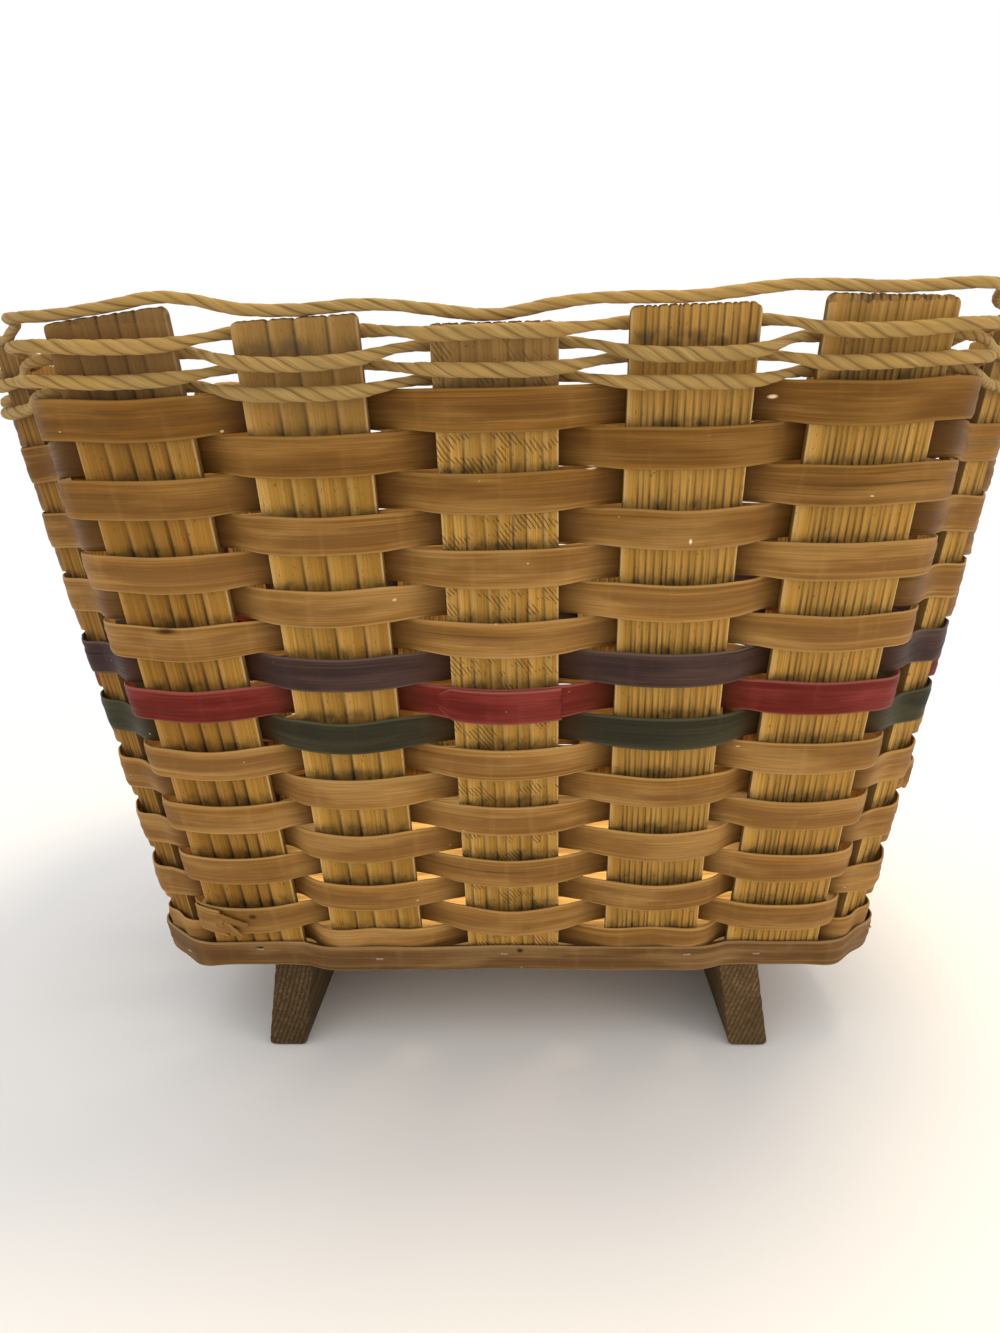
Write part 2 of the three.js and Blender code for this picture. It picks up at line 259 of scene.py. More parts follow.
STAKES = [Stake(i, *place) for i, place in enumerate(ORDER)]


def in_front(row, index):
    """1 where a row passes outside a stake and -1 where it passes inside."""
    return 1 if (row + index) % 2 == 1 else -1


def passing(row):
    """For each stake, on which side of it a row passes."""
    return np.array([in_front(row, i) for i in range(COUNT)])


def woven(row, edge, crown):
    """A row's offsets at each stake's left edge, middle, right edge and gap."""
    made = np.zeros((COUNT, 4))
    made[:, :3] = edge
    made[:, 1] = crown
    return made * passing(row)[:, None]


def row_level(row):
    return PLAN_LEVEL + FIRST_ROW + (ROWS - row) * ROW_PITCH


def cord_level(row):
    lowest = row_level(1) + ROW_HALF + GAP + 0.1 * MM + CORD_REST
    return lowest + (CORD_ROWS - row) * CORD_PITCH


def hidden_stake(row):
    """A stake of the back that a row passes inside, where its ring can begin unseen."""
    return 11 if in_front(row, 11) == -1 else 12


def hermite(t, start, end, leaving, arriving):
    """Smooth curve from start to end that leaves and arrives at those slopes."""
    return (
        (2 * t**3 - 3 * t**2 + 1) * start + (t**3 - 2 * t**2 + t) * leaving
        + (3 * t**2 - 2 * t**3) * end + (t**3 - t**2) * arriving
    )


def closed_spline(at, total, knots, values):
    """Smooth closed curve through values at knots, read at the places `at`."""
    order = np.argsort(knots % total)
    k, y = (knots % total)[order], values[order]
    k = np.concatenate([k[-2:] - total, k, k[:2] + total])
    y = np.concatenate([y[-2:], y, y[:2]])
    step = np.diff(k)
    slope = np.diff(y) / step
    tangent = (slope[:-1] * step[1:] + slope[1:] * step[:-1]) / (step[:-1] + step[1:])
    place = np.clip(np.searchsorted(k, at, "right") - 1, 1, len(k) - 3)
    h = step[place]
    t = (at - k[place]) / h
    return hermite(t, y[place], y[place + 1], h * tangent[place - 1], h * tangent[place])


class Ring:
    """A level ring through the middle of the stakes' thickness, begun at the middle of one stake."""

    def __init__(self, level, first, sizes, fine=1):
        shift = (first * STEPS + STAKE_STEPS // 2) * fine

        def edges(side):
            return np.array([
                [stake.at(level, side * stake.half_width(sizes.stake_width), sizes.stake_thickness)]
                for stake in STAKES])

        def joined(over, between):
            """Values over each stake and over the gap after it, all round from the first."""
            return np.roll(np.concatenate([over, between], 1).reshape(-1, 3), -shift, axis=0)

        left, right = edges(-1), edges(1)
        u, v = (np.array([[getattr(stake, way)] for stake in STAKES]) for way in "uv")
        away, u_after, v_after = (np.roll(values, -1, axis=0) for values in (left, u, v))
        over, t = (np.arange(n * fine)[:, None] / (n * fine) for n in (STAKE_STEPS, GAP_STEPS))
        span = np.linalg.norm(away - right, axis=-1, keepdims=True)
        a, b = u * span, u_after * span
        slope = (6 * t**2 - 6 * t) * (right - away) + (3 * t**2 - 4 * t + 1) * a + (3 * t**2 - 2 * t) * b
        self.first = first
        self.point = joined(left + (right - left) * over, hermite(t, right, away, a, b))
        self.rise = unit(joined(v + 0 * over, v + (v_after - v) * t))
        self.out = unit(np.cross(joined(u + 0 * over, slope), self.rise))
        lengths = np.linalg.norm(np.roll(self.point, -1, axis=0) - self.point, axis=1)
        self.at = np.concatenate([[0], np.cumsum(lengths)[:-1]])
        self.total = lengths.sum()
        places = np.array([0, STAKE_STEPS // 2, STAKE_STEPS, STAKE_STEPS + GAP_STEPS // 2])
        marks = (np.arange(COUNT)[:, None] * STEPS + places) * fine
        self.marks = self.at[(marks - shift) % len(self.point)]

    def through(self, values, reach=0.0):
        """Smooth values all round from those at each stake's left edge, middle, right edge and gap."""
        knots = self.marks + np.array([-reach, 0, reach, 0])
        values = np.broadcast_to(np.asarray(values, float), knots.shape)
        return closed_spline(self.at, self.total, knots.ravel(), values.ravel())

    def waver(self, rng, size, most=14):
        """A seeded gentle closed wave of about that size."""
        turns = rng.integers(2, most, 4)
        phases = rng.uniform(0, FULL_TURN, 4)
        angle = FULL_TURN * self.at / self.total
        return size / 2 * sum(np.sin(t * angle + p) for t, p in zip(turns, phases))

    def follow(self, offset, lift):
        """The path at those offsets and lifts, its direction, and the way out of the basket from it."""
        path = self.point + self.out * offset[:, None] + self.rise * lift[:, None]
        along = unit(np.roll(path, -1, axis=0) - np.roll(path, 1, axis=0))
        return path, along, unit(np.cross(along, self.rise))


# Meshes.


def place_mesh(name, points, faces):
    """A smooth mesh in the scene."""
    mesh = bpy.data.meshes.new(name)
    mesh.from_pydata(points, [], faces)
    mesh.shade_smooth()
    made = bpy.data.objects.new(name, mesh)
    bpy.context.scene.collection.objects.link(made)
    return made


def cap(sides, shared):
    """Faces that close the end of a flat section, each from one side of it to the other."""
    last = sides if shared else sides - 1
    pair = [(last - k) % sides for k in range(sides)]
    spans = sides // 2 if shared else sides // 2 - 1
    return [list(dict.fromkeys([k, k + 1, pair[k + 1], pair[k]])) for k in range(spans)]


def skin(name, grid, maps, ends=None):
    """Mesh of rows of closed sections: a ring, or capped where ends says how the caps are cut.

    Each map holds its two values for every point, and for the first side and, in a ring, the first
    row over again.
    """
    rows, sides = grid.shape[:2]
    spans = rows if ends is None else rows - 1
    i, j = np.meshgrid(np.arange(spans), np.arange(sides), indexing="ij")
    near, far = i * sides, ((i + 1) % rows) * sides
    side = (j + 1) % sides
    faces = np.stack([near + j, far + j, far + side, near + side], -1).reshape(-1, 4).tolist()
    caps = []
    if ends is not None:
        flat = [list(range(sides))] if ends == "fan" else cap(sides, ends == "shared")
        caps = [[(0, k) for k in face] for face in flat]
        caps += [[(rows - 1, k) for k in reversed(face)] for face in flat]
    faces += [[row * sides + k for row, k in face] for face in caps]
    made = place_mesh(name, grid.reshape(-1, 3).tolist(), faces)
    for map_name, pair in maps.items():
        values = np.stack([np.broadcast_to(half, (spans + 1, sides + 1)) for half in pair], -1)
        corners = np.stack(
            [values[i, j], values[i + 1, j], values[i + 1, j + 1], values[i, j + 1]], 2
        ).reshape(-1, 2)
        if caps:
            extra = [values[row, k] for face in caps for row, k in face]
            corners = np.concatenate([corners, np.array(extra)])
        layer = made.data.uv_layers.new(name=map_name)
        layer.data.foreach_set("uv", corners.astype(np.float32).ravel())
    return made


def closed(values, last=None):
    """The values with the first repeated at the end, or with `last` there."""
    return np.concatenate([values, [values[0] if last is None else last]])


def finish_piece(made, material, slot, *nodes):
    """Gives a piece its material and has it stand for its solids; the slot is not used."""
    made.data.materials.append(material)
    if nodes:
        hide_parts(*nodes)
    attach(made, "root")
    return made


# Materials.


class Finish:
    """A procedural material under construction, painted layer by layer."""

    def __init__(self, name):
        self.material = bpy.data.materials.new(name)
        self.material.use_nodes = True
        self.tree = self.material.node_tree
        self.surface = self.tree.nodes["Principled BSDF"]
        self.colour = None

    def node(self, kind, inputs=(), **settings):
        """A new node with those settings, its inputs fed by name or number."""
        made = self.tree.nodes.new(kind)
        for key, value in settings.items():
            setattr(made, key, value)
        for key, value in dict(inputs).items():
            self.feed(made.inputs[key], value)
        return made

    def feed(self, socket, value):
        if isinstance(value, bpy.types.NodeSocket):
            self.tree.links.new(value, socket)
        else:
            socket.default_value = value

    def map(self, name, scale=(1, 1), offset=(0, 0)):
        """Coordinates from one of the piece's own maps, which are in metres."""
        source = self.node("ShaderNodeUVMap", uv_map=name).outputs[0]
        return self.node("ShaderNodeMapping", {
            "Vector": source, "Scale": (*scale, 1), "Location": (*offset, 0)}).outputs[0]

    def place(self, scale=(1, 1, 1), offset=(0, 0, 0)):
        """Coordinates from the place on the object, in metres."""
        source = self.node("ShaderNodeTexCoord").outputs["Object"]
        return self.node("ShaderNodeMapping", {
            "Vector": source, "Scale": scale, "Location": offset}).outputs[0]

    def parts(self, vector):
        return self.node("ShaderNodeSeparateXYZ", {0: vector}).outputs

    def noise(self, vector, detail=3, rough=0.55, warp=0.0):
        return self.node("ShaderNodeTexNoise", {
            "Vector": vector, "Scale": 1.0, "Detail": detail, "Roughness": rough,
            "Distortion": warp}).outputs[0]

    def grain(self, along, across, detail=3, rough=0.5, warp=0.0, offset=(0, 0), name="grain"):
        """Noise stretched along a piece, with so many features to the metre each way."""
        return self.noise(self.map(name, (along, across), offset), detail, rough, warp)

    def math(self, operation, a, b=0.0, clamp=False):
        return self.node("ShaderNodeMath", {0: a, 1: b}, operation=operation, use_clamp=clamp).outputs[0]

    def times(self, a, b, clamp=False):
        return self.math("MULTIPLY", a, b, clamp)

    def plus(self, a, b, clamp=False):
        return self.math("ADD", a, b, clamp)

    def minus(self, a, b):
        return self.math("SUBTRACT", a, b)

    def size(self, a):
        return self.math("ABSOLUTE", a)

    def reach(self, a, b):
        """Distance from the middle of two crossed directions."""
        return self.math("SQRT", self.plus(self.times(a, a), self.times(b, b)))

    def range(self, value, low, high, to_low=0.0, to_high=1.0):
        return self.node("ShaderNodeMapRange", {
            "Value": value, "From Min": low, "From Max": high, "To Min": to_low, "To Max": to_high,
        }, interpolation_type="SMOOTHSTEP").outputs[0]

    def ramp(self, value, *stops):
        """Starts the colour with a ramp of (position, colour) stops."""
        made = self.node("ShaderNodeValToRGB", {0: value})
        points = made.color_ramp.elements
        while len(points) < len(stops):
            points.new(0.5)
        for point, (position, stop) in zip(points, stops):
            point.position = position
            point.color = (*stop, 1)
        self.colour = made.outputs[0]

    def mix(self, share, a, b, blend="MIX"):
        sockets = [v if isinstance(v, bpy.types.NodeSocket) else (*v, 1) for v in (a, b)]
        return self.node("ShaderNodeMix", {0: share, 6: sockets[0], 7: sockets[1]},
                         data_type="RGBA", blend_type=blend).outputs[2]

    def paint(self, share, over, blend="MIX"):
        """Lays another colour over what is painted so far."""
        self.colour = self.mix(share, self.colour, over, blend)

    def spot(self, x, z, wide, high):
        """1 in the middle of an oval mark on the front of the basket, 0 outside it."""
        place = self.parts(self.place())
        across = self.math("DIVIDE", self.minus(place[0], x * MM), wide * MM)
        up = self.math("DIVIDE", self.minus(place[2], z * MM), high * MM)
        inside = self.range(self.reach(across, up), 1.0, 0.0)
        return self.times(inside, self.range(place[1], -0.04, -0.06))

    def done(self, rough, height, depth, specular, **constants):
        """The finished material, its height pressed in to a depth."""
        bump = self.node("ShaderNodeBump", {"Height": height, "Distance": depth})
        self.feed(self.surface.inputs["Base Color"], self.colour)
        self.feed(self.surface.inputs["Roughness"], rough)
        self.feed(self.surface.inputs["Normal"], bump.outputs[0])
        self.surface.inputs["Specular IOR Level"].default_value = specular
        for key, value in constants.items():
            self.surface.inputs[key.replace("_", " ")].default_value = value
        return self.material


def shade(base, share):
    """A colour made lighter or darker."""
    return tuple(min(1.0, c * share) for c in base)


def tint(base, other, share):
    """A colour moved some way towards another."""
    return tuple(a + (b - a) * share for a, b in zip(base, other))


def stake_wood(colours):
    """Ridged honey softwood: saw marks, pale edges, grey tops, dust above each splint, and painted shade in
    the grooves, across each flute, on the narrow sides, over the tops, above each splint and at the left.
    """
    f = Finish("stake_wood")
    base, dust_and_shade = tuple(colours.stake), tuple(colours.dust_and_shade)
    deep = tint(shade(base, 0.3), (0.19, 0.08, 0.013), 0.5)
    fibre = f.grain(16, 1700, 4, 0.6)
    f.ramp(fibre, (0.3, shade(base, 0.6)), (0.48, base), (0.7, tint(base, (0.9, 0.66, 0.3), 0.3)))
    f.paint(f.range(f.grain(6, 170), 0.4, 0.7, 0, 0.5), shade(base, 0.55))
    f.paint(f.range(f.grain(26, 60), 0.45, 0.7, 0, 0.3), tint(base, (0.55, 0.2, 0.03), 0.5))

    across, tone = f.parts(f.map("flute"))[:2]
    f.paint(f.range(tone, 0.35, 1, 0, 0.45), shade(base, 0.58))
    # Painted shade across each flute, darker towards its right, and a painted highlight at its left.
    f.paint(f.times(f.math("POWER", across, 1.6), 0.5), deep)
    f.paint(f.range(across, 0.32, 0.08, 0, 0.35), tint(base, (0.95, 0.75, 0.4), 0.3))
    depth, sideways = f.parts(f.map("profile"))[:2]
    # Painted shade in the grooves between the ridges.
    uneven = f.range(f.grain(48, 300, 3, 0.6), 0.32, 0.62, 0.12, 1)
    f.paint(f.times(f.times(f.math("POWER", depth, 1.2), uneven), 0.85), deep)
    sideways = f.size(sideways)
    f.paint(f.range(sideways, 0.95, 0.985, 0, 0.65), tint(base, (0.92, 0.74, 0.42), 0.4))
    # Painted shade on the narrow sides.
    f.paint(f.range(sideways, 0.99, 1.0, 0, 0.85), shade(base, 0.3))

    grey, sawn = f.parts(f.map("wear"))[:2]
    up, over = f.parts(f.map("grain"))[:2]
    slant = f.plus(f.times(over, 3800), f.times(up, 2600))
    slant = f.plus(slant, f.times(f.grain(90, 90, 2, 0.55), 9))
    stroke = f.range(f.math("SINE", slant), 0.35, 0.85)
    cluster = f.range(f.grain(150, 95, 2), 0.5, 0.58)
    stroke = f.times(f.times(stroke, cluster), sawn)
    f.paint(f.times(stroke, 0.72), (0.07, 0.045, 0.025))
    speck = f.range(f.grain(420, 900, 2), 0.66, 0.72, 0, 0.55)
    f.paint(speck, shade(base, 0.25))

    # Dust and painted shade above each splint: darker at the foot of each bare patch and up its grooves from
    # there.
    outer, row = f.parts(f.map("rows"))[:2]
    outer = f.range(f.size(outer), 0.97, 1.0)
    ragged = f.minus(f.grain(60, 520, 3, 0.6), 0.5)
    phase = f.math("FRACT", f.plus(f.plus(row, 0.16), f.times(ragged, 0.16)))
    reach = f.range(up, 0.03, 0.22, 0.24, 0.17)
    low = f.range(f.math("DIVIDE", f.minus(phase, 0.16), reach), 1.0, 0.1)
    smudge = f.range(f.grain(110, 190, 3, 0.6), 0.38, 0.66, 0.15, 0.75)
    grooved = f.plus(smudge, f.times(depth, 0.5), True)
    dust_and_shade_share = f.times(f.times(low, outer), grooved)
    streaks = f.times(f.range(phase, 0.62, 0.2, 0, 0.85), f.math("POWER", depth, 0.6))
    f.paint(f.math("MAXIMUM", dust_and_shade_share, f.times(streaks, outer)), dust_and_shade)
    # Grey weathering and painted shade on the top of each stake.
    high = f.times(f.range(up, 0.222, 0.25), grey)
    f.paint(f.times(high, 0.75), shade(tint(base, (0.34, 0.27, 0.2), 0.55), 0.52))
    # Painted shade: the stakes at the left of the basket duller and darker.
    left = f.range(f.parts(f.place())[0], -0.087, -0.112)
    f.paint(left, (0.74, 0.68, 0.64), "MULTIPLY")
    height = f.minus(fibre, f.times(f.plus(speck, stroke), 0.5))
    return f.done(f.range(fibre, 0.3, 0.7, 0.62, 0.84), height, 0.35 * MM, 0.05)


def splint_wood(name, base, light, dark, faded_and_lit, fade_and_highlight_share, marks=(), flakes_and_highlights=()):
    """Flat reed: soft streaks, a browner middle, rubbed edges with a painted highlight, painted shade behind
    the stakes and on the upper rows, long cracks, pale chips and painted highlights.
    """
    f = Finish(name)
    bands = f.grain(5, 230, 3, 0.55, 0.3)
    lines = f.grain(8, 900, 4, 0.6)
    fibres = f.grain(50, 2600, 2, 0.6)
    patch = f.grain(19, 70)
    streaks = f.grain(13, 360, 3, 0.6, 0.6, (0, 2.9))
    rubbed, facing = f.parts(f.map("edge"))[:2]
    f.ramp(bands, (0.3, dark), (0.44, tint(base, dark, 0.35)), (0.56, base), (0.74, light))
    f.paint(f.range(lines, 0.4, 0.6, 0.7, 0), dark)
    f.paint(f.range(streaks, 0.52, 0.7, 0, 0.5), shade(dark, 0.8))
    f.paint(f.range(streaks, 0.46, 0.3, 0, 0.5), light)
    middle = f.times(f.range(rubbed, 0.8, 0.2), f.range(patch, 0.38, 0.6, 0.06, 0.7))
    purple = [c * m for c, m in zip(shade(base, 0.6), (1, 0.96, 1.5))]
    f.paint(middle, tint(dark, purple, 0.6))
    f.paint(f.range(patch, 0.55, 0.36, 0, 0.45), light)
    f.paint(f.range(f.grain(190, 24, 2), 0.52, 0.75, 0, 0.2), light)
    f.paint(f.range(fibres, 0.6, 0.4, 0, 0.34), dark)
    # Rubbed, faded edges, with a painted highlight along both edges.
    f.paint(f.range(f.plus(rubbed, f.times(lines, 0.16)), 0.9, 1.04, 0, fade_and_highlight_share), faded_and_lit)
    # Painted shade where the splint passes behind a stake and through the gaps.
    f.paint(f.range(facing, 0.4, -0.5, 0, 0.72), tint(shade(dark, 0.6), (0.08, 0.026, 0.004), 0.5))
    # Painted shade: the upper rows darker.
    f.paint(f.range(f.parts(f.place())[2], 0.205, 0.262), (0.68, 0.62, 0.46), "MULTIPLY")
    crack = f.range(f.grain(7, 420, 2, 0.4, offset=(3.1, 0)), 0.69, 0.76, 0, 0.6)
    f.paint(crack, shade(dark, 0.5))
    chip = f.range(f.grain(260, 430, 1, 0.4, offset=(0, 7.7)), 0.8, 0.825, 0, 0.75)
    f.paint(chip, tint(faded_and_lit, (0.9, 0.75, 0.5), 0.5))
    # Dark marks, and pale flakes of which some are painted highlights.
    for spots, strength, over in ((marks, 1.3, shade(dark, 0.3)), (flakes_and_highlights, 1.6, (0.85, 0.68, 0.42))):
        for spot in spots:
            f.paint(f.times(f.spot(*spot), strength, True), over)
    height = f.plus(f.times(bands, 0.8), f.times(lines, 1.1))
    height = f.minus(f.plus(height, f.times(fibres, 0.3)), f.times(crack, 1.4))
    return f.done(f.range(lines, 0.3, 0.7, 0.44, 0.64), height, 0.3 * MM, 0.07)


def cord_fibre(colours):
    """Twisted paper-like fibre: fine lines along the lay, painted shade in the creases, golden patches."""
    f = Finish("cord_fibre")
    base = tuple(colours.cord)
    line = f.grain(60, 2600, 4, 0.6, name="lay")
    f.ramp(line, (0.3, shade(base, 0.72)), (0.5, base), (0.72, tint(base, (0.92, 0.74, 0.42), 0.3)))
    f.paint(f.range(f.grain(26, 260, name="lay"), 0.42, 0.7, 0, 0.4), shade(base, 0.7))
    gold = tint(base, (0.6, 0.33, 0.07), 0.45)
    f.paint(f.range(f.grain(9, 20, 2, name="lay"), 0.4, 0.65, 0, 0.5), gold)
    # Painted shade in the creases between the strands.
    crease = f.math("POWER", f.parts(f.map("crease"))[0], 1.3)
    f.paint(f.times(crease, 0.8), tint(shade(base, 0.3), (0.14, 0.05, 0.01), 0.4))
    return f.done(f.range(line, 0.3, 0.7, 0.62, 0.82), line, 0.2 * MM, 0.12, Sheen_Weight=0.05)


def band_wood(colours):
    """The foot band: browner splint with two dark knots on its front."""
    base = tuple(colours.band)
    return splint_wood(
        "band_wood", base, tint(base, (0.6, 0.42, 0.2), 0.35), shade(base, 0.5),
        tint(base, (0.7, 0.52, 0.3), 0.4), 0.45, BAND_KNOTS)


def sawn_wood(name, base, middle, along, ring, dark_share):
    """Sawn wood with growth rings round a far centre: long grain on its faces and arcs on its ends."""
    f = Finish(name)
    warp = f.noise(f.place((14, 3, 14)), 2, 0.5)
    x, y, z = f.parts(f.place(offset=tuple(-m for m in middle)))[:3]
    reach = f.reach(x if along == "y" else y, z)
    rings = f.math("FRACT", f.math("DIVIDE", f.plus(reach, f.times(warp, 0.008)), ring))
    late = f.range(rings, 0.55, 0.9)
    fibre = f.noise(f.place((700, 18, 700) if along == "y" else (18, 700, 700)), 4, 0.6)
    pale = shade(tint(base, (0.5, 0.36, 0.18), 0.12), 1.3)
    f.ramp(fibre, (0.3, shade(base, 0.62)), (0.52, base), (0.75, pale))
    f.paint(f.times(late, dark_share), shade(base, 0.34))
    f.paint(f.range(f.noise(f.place((30, 30, 30)), 4, 0.6), 0.42, 0.7, 0, 0.55), shade(base, 0.42))
    height = f.minus(fibre, f.times(late, 0.6))
    return f.done(f.range(fibre, 0.3, 0.7, 0.62, 0.86), height, 0.45 * MM, 0.12)


def staple_steel(colours):
    """Dull staples, spotted with rust."""
    f = Finish("staple_steel")
    rust = f.noise(f.place((900, 900, 900)), 3, 0.6)
    base = tuple(colours.staple)
    f.ramp(rust, (0.4, base), (0.6, shade(base, 0.7)), (0.72, (0.2, 0.09, 0.035)))
    return f.done(f.range(rust, 0.3, 0.7, 0.35, 0.7), rust, 0.05 * MM, 0.5, Metallic=0.35)


def floor_paint(base):
    """Matte pale floor that turns into plain white light away from the basket."""
    f = Finish("studio_floor")
    grain = f.noise(f.place((6, 6, 6)), 3, 0.5)
    x, y = f.parts(f.place())[:2]
    far = f.range(f.reach(x, y), 0.3, 0.8)
    f.feed(f.surface.inputs["Emission Color"], f.mix(far, (0, 0, 0), (1, 1, 1)))
    f.colour = f.mix(far, f.mix(grain, shade(base, 0.98), base), (0, 0, 0))
    return f.done(f.range(grain, 0.3, 0.7, 0.8, 0.9), grain, 0.05 * MM, 0.0, Emission_Strength=1.0)


# Pieces.


def flute_profile(rng, columns, heights, half, flutes, depth):
    """Relief of a stake's face, how deep in a groove each point is, its place across its flute, its tone."""
    widths = rng.uniform(0.7, 1.3, flutes)
    if flutes >= FINE_FLUTES:
        widths[0] *= 2.4
    bounds = -half + 2 * half * np.concatenate([[0], np.cumsum(widths)]) / widths.sum()
    broad = flutes <= BROAD_FLUTES
    sharp = (0.5 if broad else 0.3) * MM
    swell = depth * (0.9 if broad else 0.4)
    x, y = columns[None, :], heights[:, None]
    relief = np.zeros((len(heights), len(columns)))
    groove, across, tone = (np.zeros_like(relief) for _ in range(3))
    lines = []
    for bound in bounds:
        wander = rng.uniform(0.15, 0.5) * MM * np.sin(y * rng.uniform(12, 30) + rng.uniform(0, 6))
        lines.append(bound + wander)
    for line in lines[1:-1]:
        cut = np.exp(-(((x - line) / sharp) ** 2)) * rng.uniform(0.55, 1.0)
        relief -= cut * depth * (1.0 if broad else 0.55)
        groove = np.maximum(groove, cut)
    for low, high in zip(lines[:-1], lines[1:]):
        t = np.clip((x - low) / (high - low), 0, 1)
        inside = (x >= low) & (x <= high)
        bow = rng.uniform(0.4, 1.0) * swell
        relief += np.where(inside, bow * (4 * t * (1 - t)) ** 0.8 - bow * (0.2 + 0.6 * t * broad), 0)
        across = np.where(inside, t * (1.0 if broad else 0.6), across)
        tone = np.where(inside, rng.uniform(0, 1) + 0 * x, tone)
    return relief, groove, across, tone


def rounding(radius, inset):
    """How far a rounded edge of that radius falls away at those distances inside it."""
    near = np.clip(radius - inset, 0, radius)
    return radius - np.sqrt(np.maximum(radius**2 - near**2, 0))


def make_stake(stake, sizes):
    """One upright with its own ridges, rounded edges and a rough-cut top."""
    rng = np.random.default_rng(STAKE_SEED + stake.index)
    half, thick = sizes.stake_width * stake.share / 2, sizes.stake_thickness
    flutes = FLUTES[stake.index]
    lip = np.array([0, 0.12, 0.35, 0.75]) * MM
    inner_half = half - 1.2 * MM
    inner_count = 150 if flutes >= FINE_FLUTES else int(96 * stake.share)
    inner = np.linspace(-inner_half, inner_half, inner_count)
    columns = np.concatenate([-half + lip, inner, half - lip[::-1]])
    inset = half - np.abs(columns)
    count = len(columns)
    start = (STAND_HEIGHT - PLAN_LEVEL) / stake.v[2]
    length = (stake.top - PLAN_LEVEL) / stake.v[2]
    shares = np.concatenate([[0, 0.002], np.linspace(0.01, 0.985, 62), [0.993, 0.9975, 0.9995, 1]])
    mean = start + (length - start) * shares
    front = flute_profile(rng, columns, mean, half, flutes, sizes.flute_depth)
    behind = flute_profile(rng, columns, mean, half, flutes + 3, sizes.flute_depth * 0.6)

    corners = rng.uniform(0.8, 3.2, 2) * MM
    drop = rounding(np.where(columns < 0, corners[0], corners[1]), inset)
    rough_top = sum(
        rng.uniform(0.04, 0.16) * MM * np.sin(columns * k + rng.uniform(0, 6)) for k in (260, 610, 1500))
    notch = 0.7 * MM * front[1][-1]
    level = columns * stake.rightward[2] / stake.v[2]
    top = length - stake.worn + columns * stake.tilt - level - drop - np.abs(rough_top) - notch
    foot = start - level
    heights = foot[None, :] + (top - foot)[None, :] * shares[:, None]

    fall = rounding(0.8 * MM, inset)
    ends = np.minimum(1, np.minimum(shares, 1 - shares) * (length / (0.9 * MM)))
    softened = 0.45 * MM * (1 - np.sqrt(1 - (1 - ends) ** 2))
    bend = 0.35 * MM * np.sin(mean * rng.uniform(9, 16) + rng.uniform(0, 6))[:, None]
    blend = np.minimum(1, inset / (1.5 * MM))
    solid = thick / 2 - fall[None, :] - softened[:, None]
    face = solid + front[0] * blend + bend * 0.4
    back = -solid - behind[0] * blend + bend * 0.4
    rows = len(shares)
    grid = np.empty((rows, 2 * count, 3))
    for first, out, order in ((0, face, slice(None)), (count, back, slice(None, None, -1))):
        x = columns[order][None, :, None]
        y = heights[:, order][..., None]
        z = (out[:, order] - thick / 2)[..., None]
        grid[:, first:first + count] = stake.foot + stake.rightward * x + stake.v * y + stake.n * z

    def both(outside, inside=None):
        """Values round the section, from those on the outside and on the inside."""
        pair = (outside, outside if inside is None else inside)
        outside, inside = (np.broadcast_to(values, (rows, count)) for values in pair)
        return np.concatenate([outside, inside[:, ::-1]], 1)

    def round_off(values, step=0.0):
        """The values the other way round, with the first again or one a step beyond the last."""
        values = values[:, ::-1]
        closing = values[:, -1:] - step if step else values[:, :1]
        return np.concatenate([values, closing], 1)

    high = both(heights)
    true = high + both(level)
    phase = (PLAN_LEVEL + true * stake.v[2] - row_level(ROWS) - ROW_HALF) / (2 * ROW_PITCH)
    parity = 0.0 if in_front(ROWS, stake.index) == 1 else -0.5
    seed = stake.index * 0.37
    maps = {
        "grain": (high, both(columns + seed, 2 * half + thick - columns + seed)),
        "rows": (both(1.0, -1.0), phase + both(parity, parity + 0.5) + 20),
        "profile": (both(front[1], behind[1]), both(columns / half)),
        "flute": (both(front[2], behind[2]), both(front[3], behind[3])),
        "wear": (both(TOP_GREY_AND_SHADE[stake.index]), both(SAW_MARKS[stake.index], 0.0)),
    }
    maps = {
        key: (round_off(a), round_off(b, thick if key == "grain" else 0))
        for key, (a, b) in maps.items()
    }
    return skin(f"stake_{stake.index + 1:02d}_wood", grid[:, ::-1], maps, "apart")


def splint_section(thickness, height, points=13):
    """Flat-oval section, from the lower edge up the outside and down the inside."""
    up = np.linspace(-math.pi / 2, math.pi / 2, points)
    down = up[::-1][1:-1]
    out = np.concatenate([np.cos(up).clip(0) ** 0.4, -(np.cos(down).clip(0) ** 0.3)]) * thickness / 2
    rise = np.concatenate([np.sin(up), np.sin(down)]) * height / 2
    return out, rise


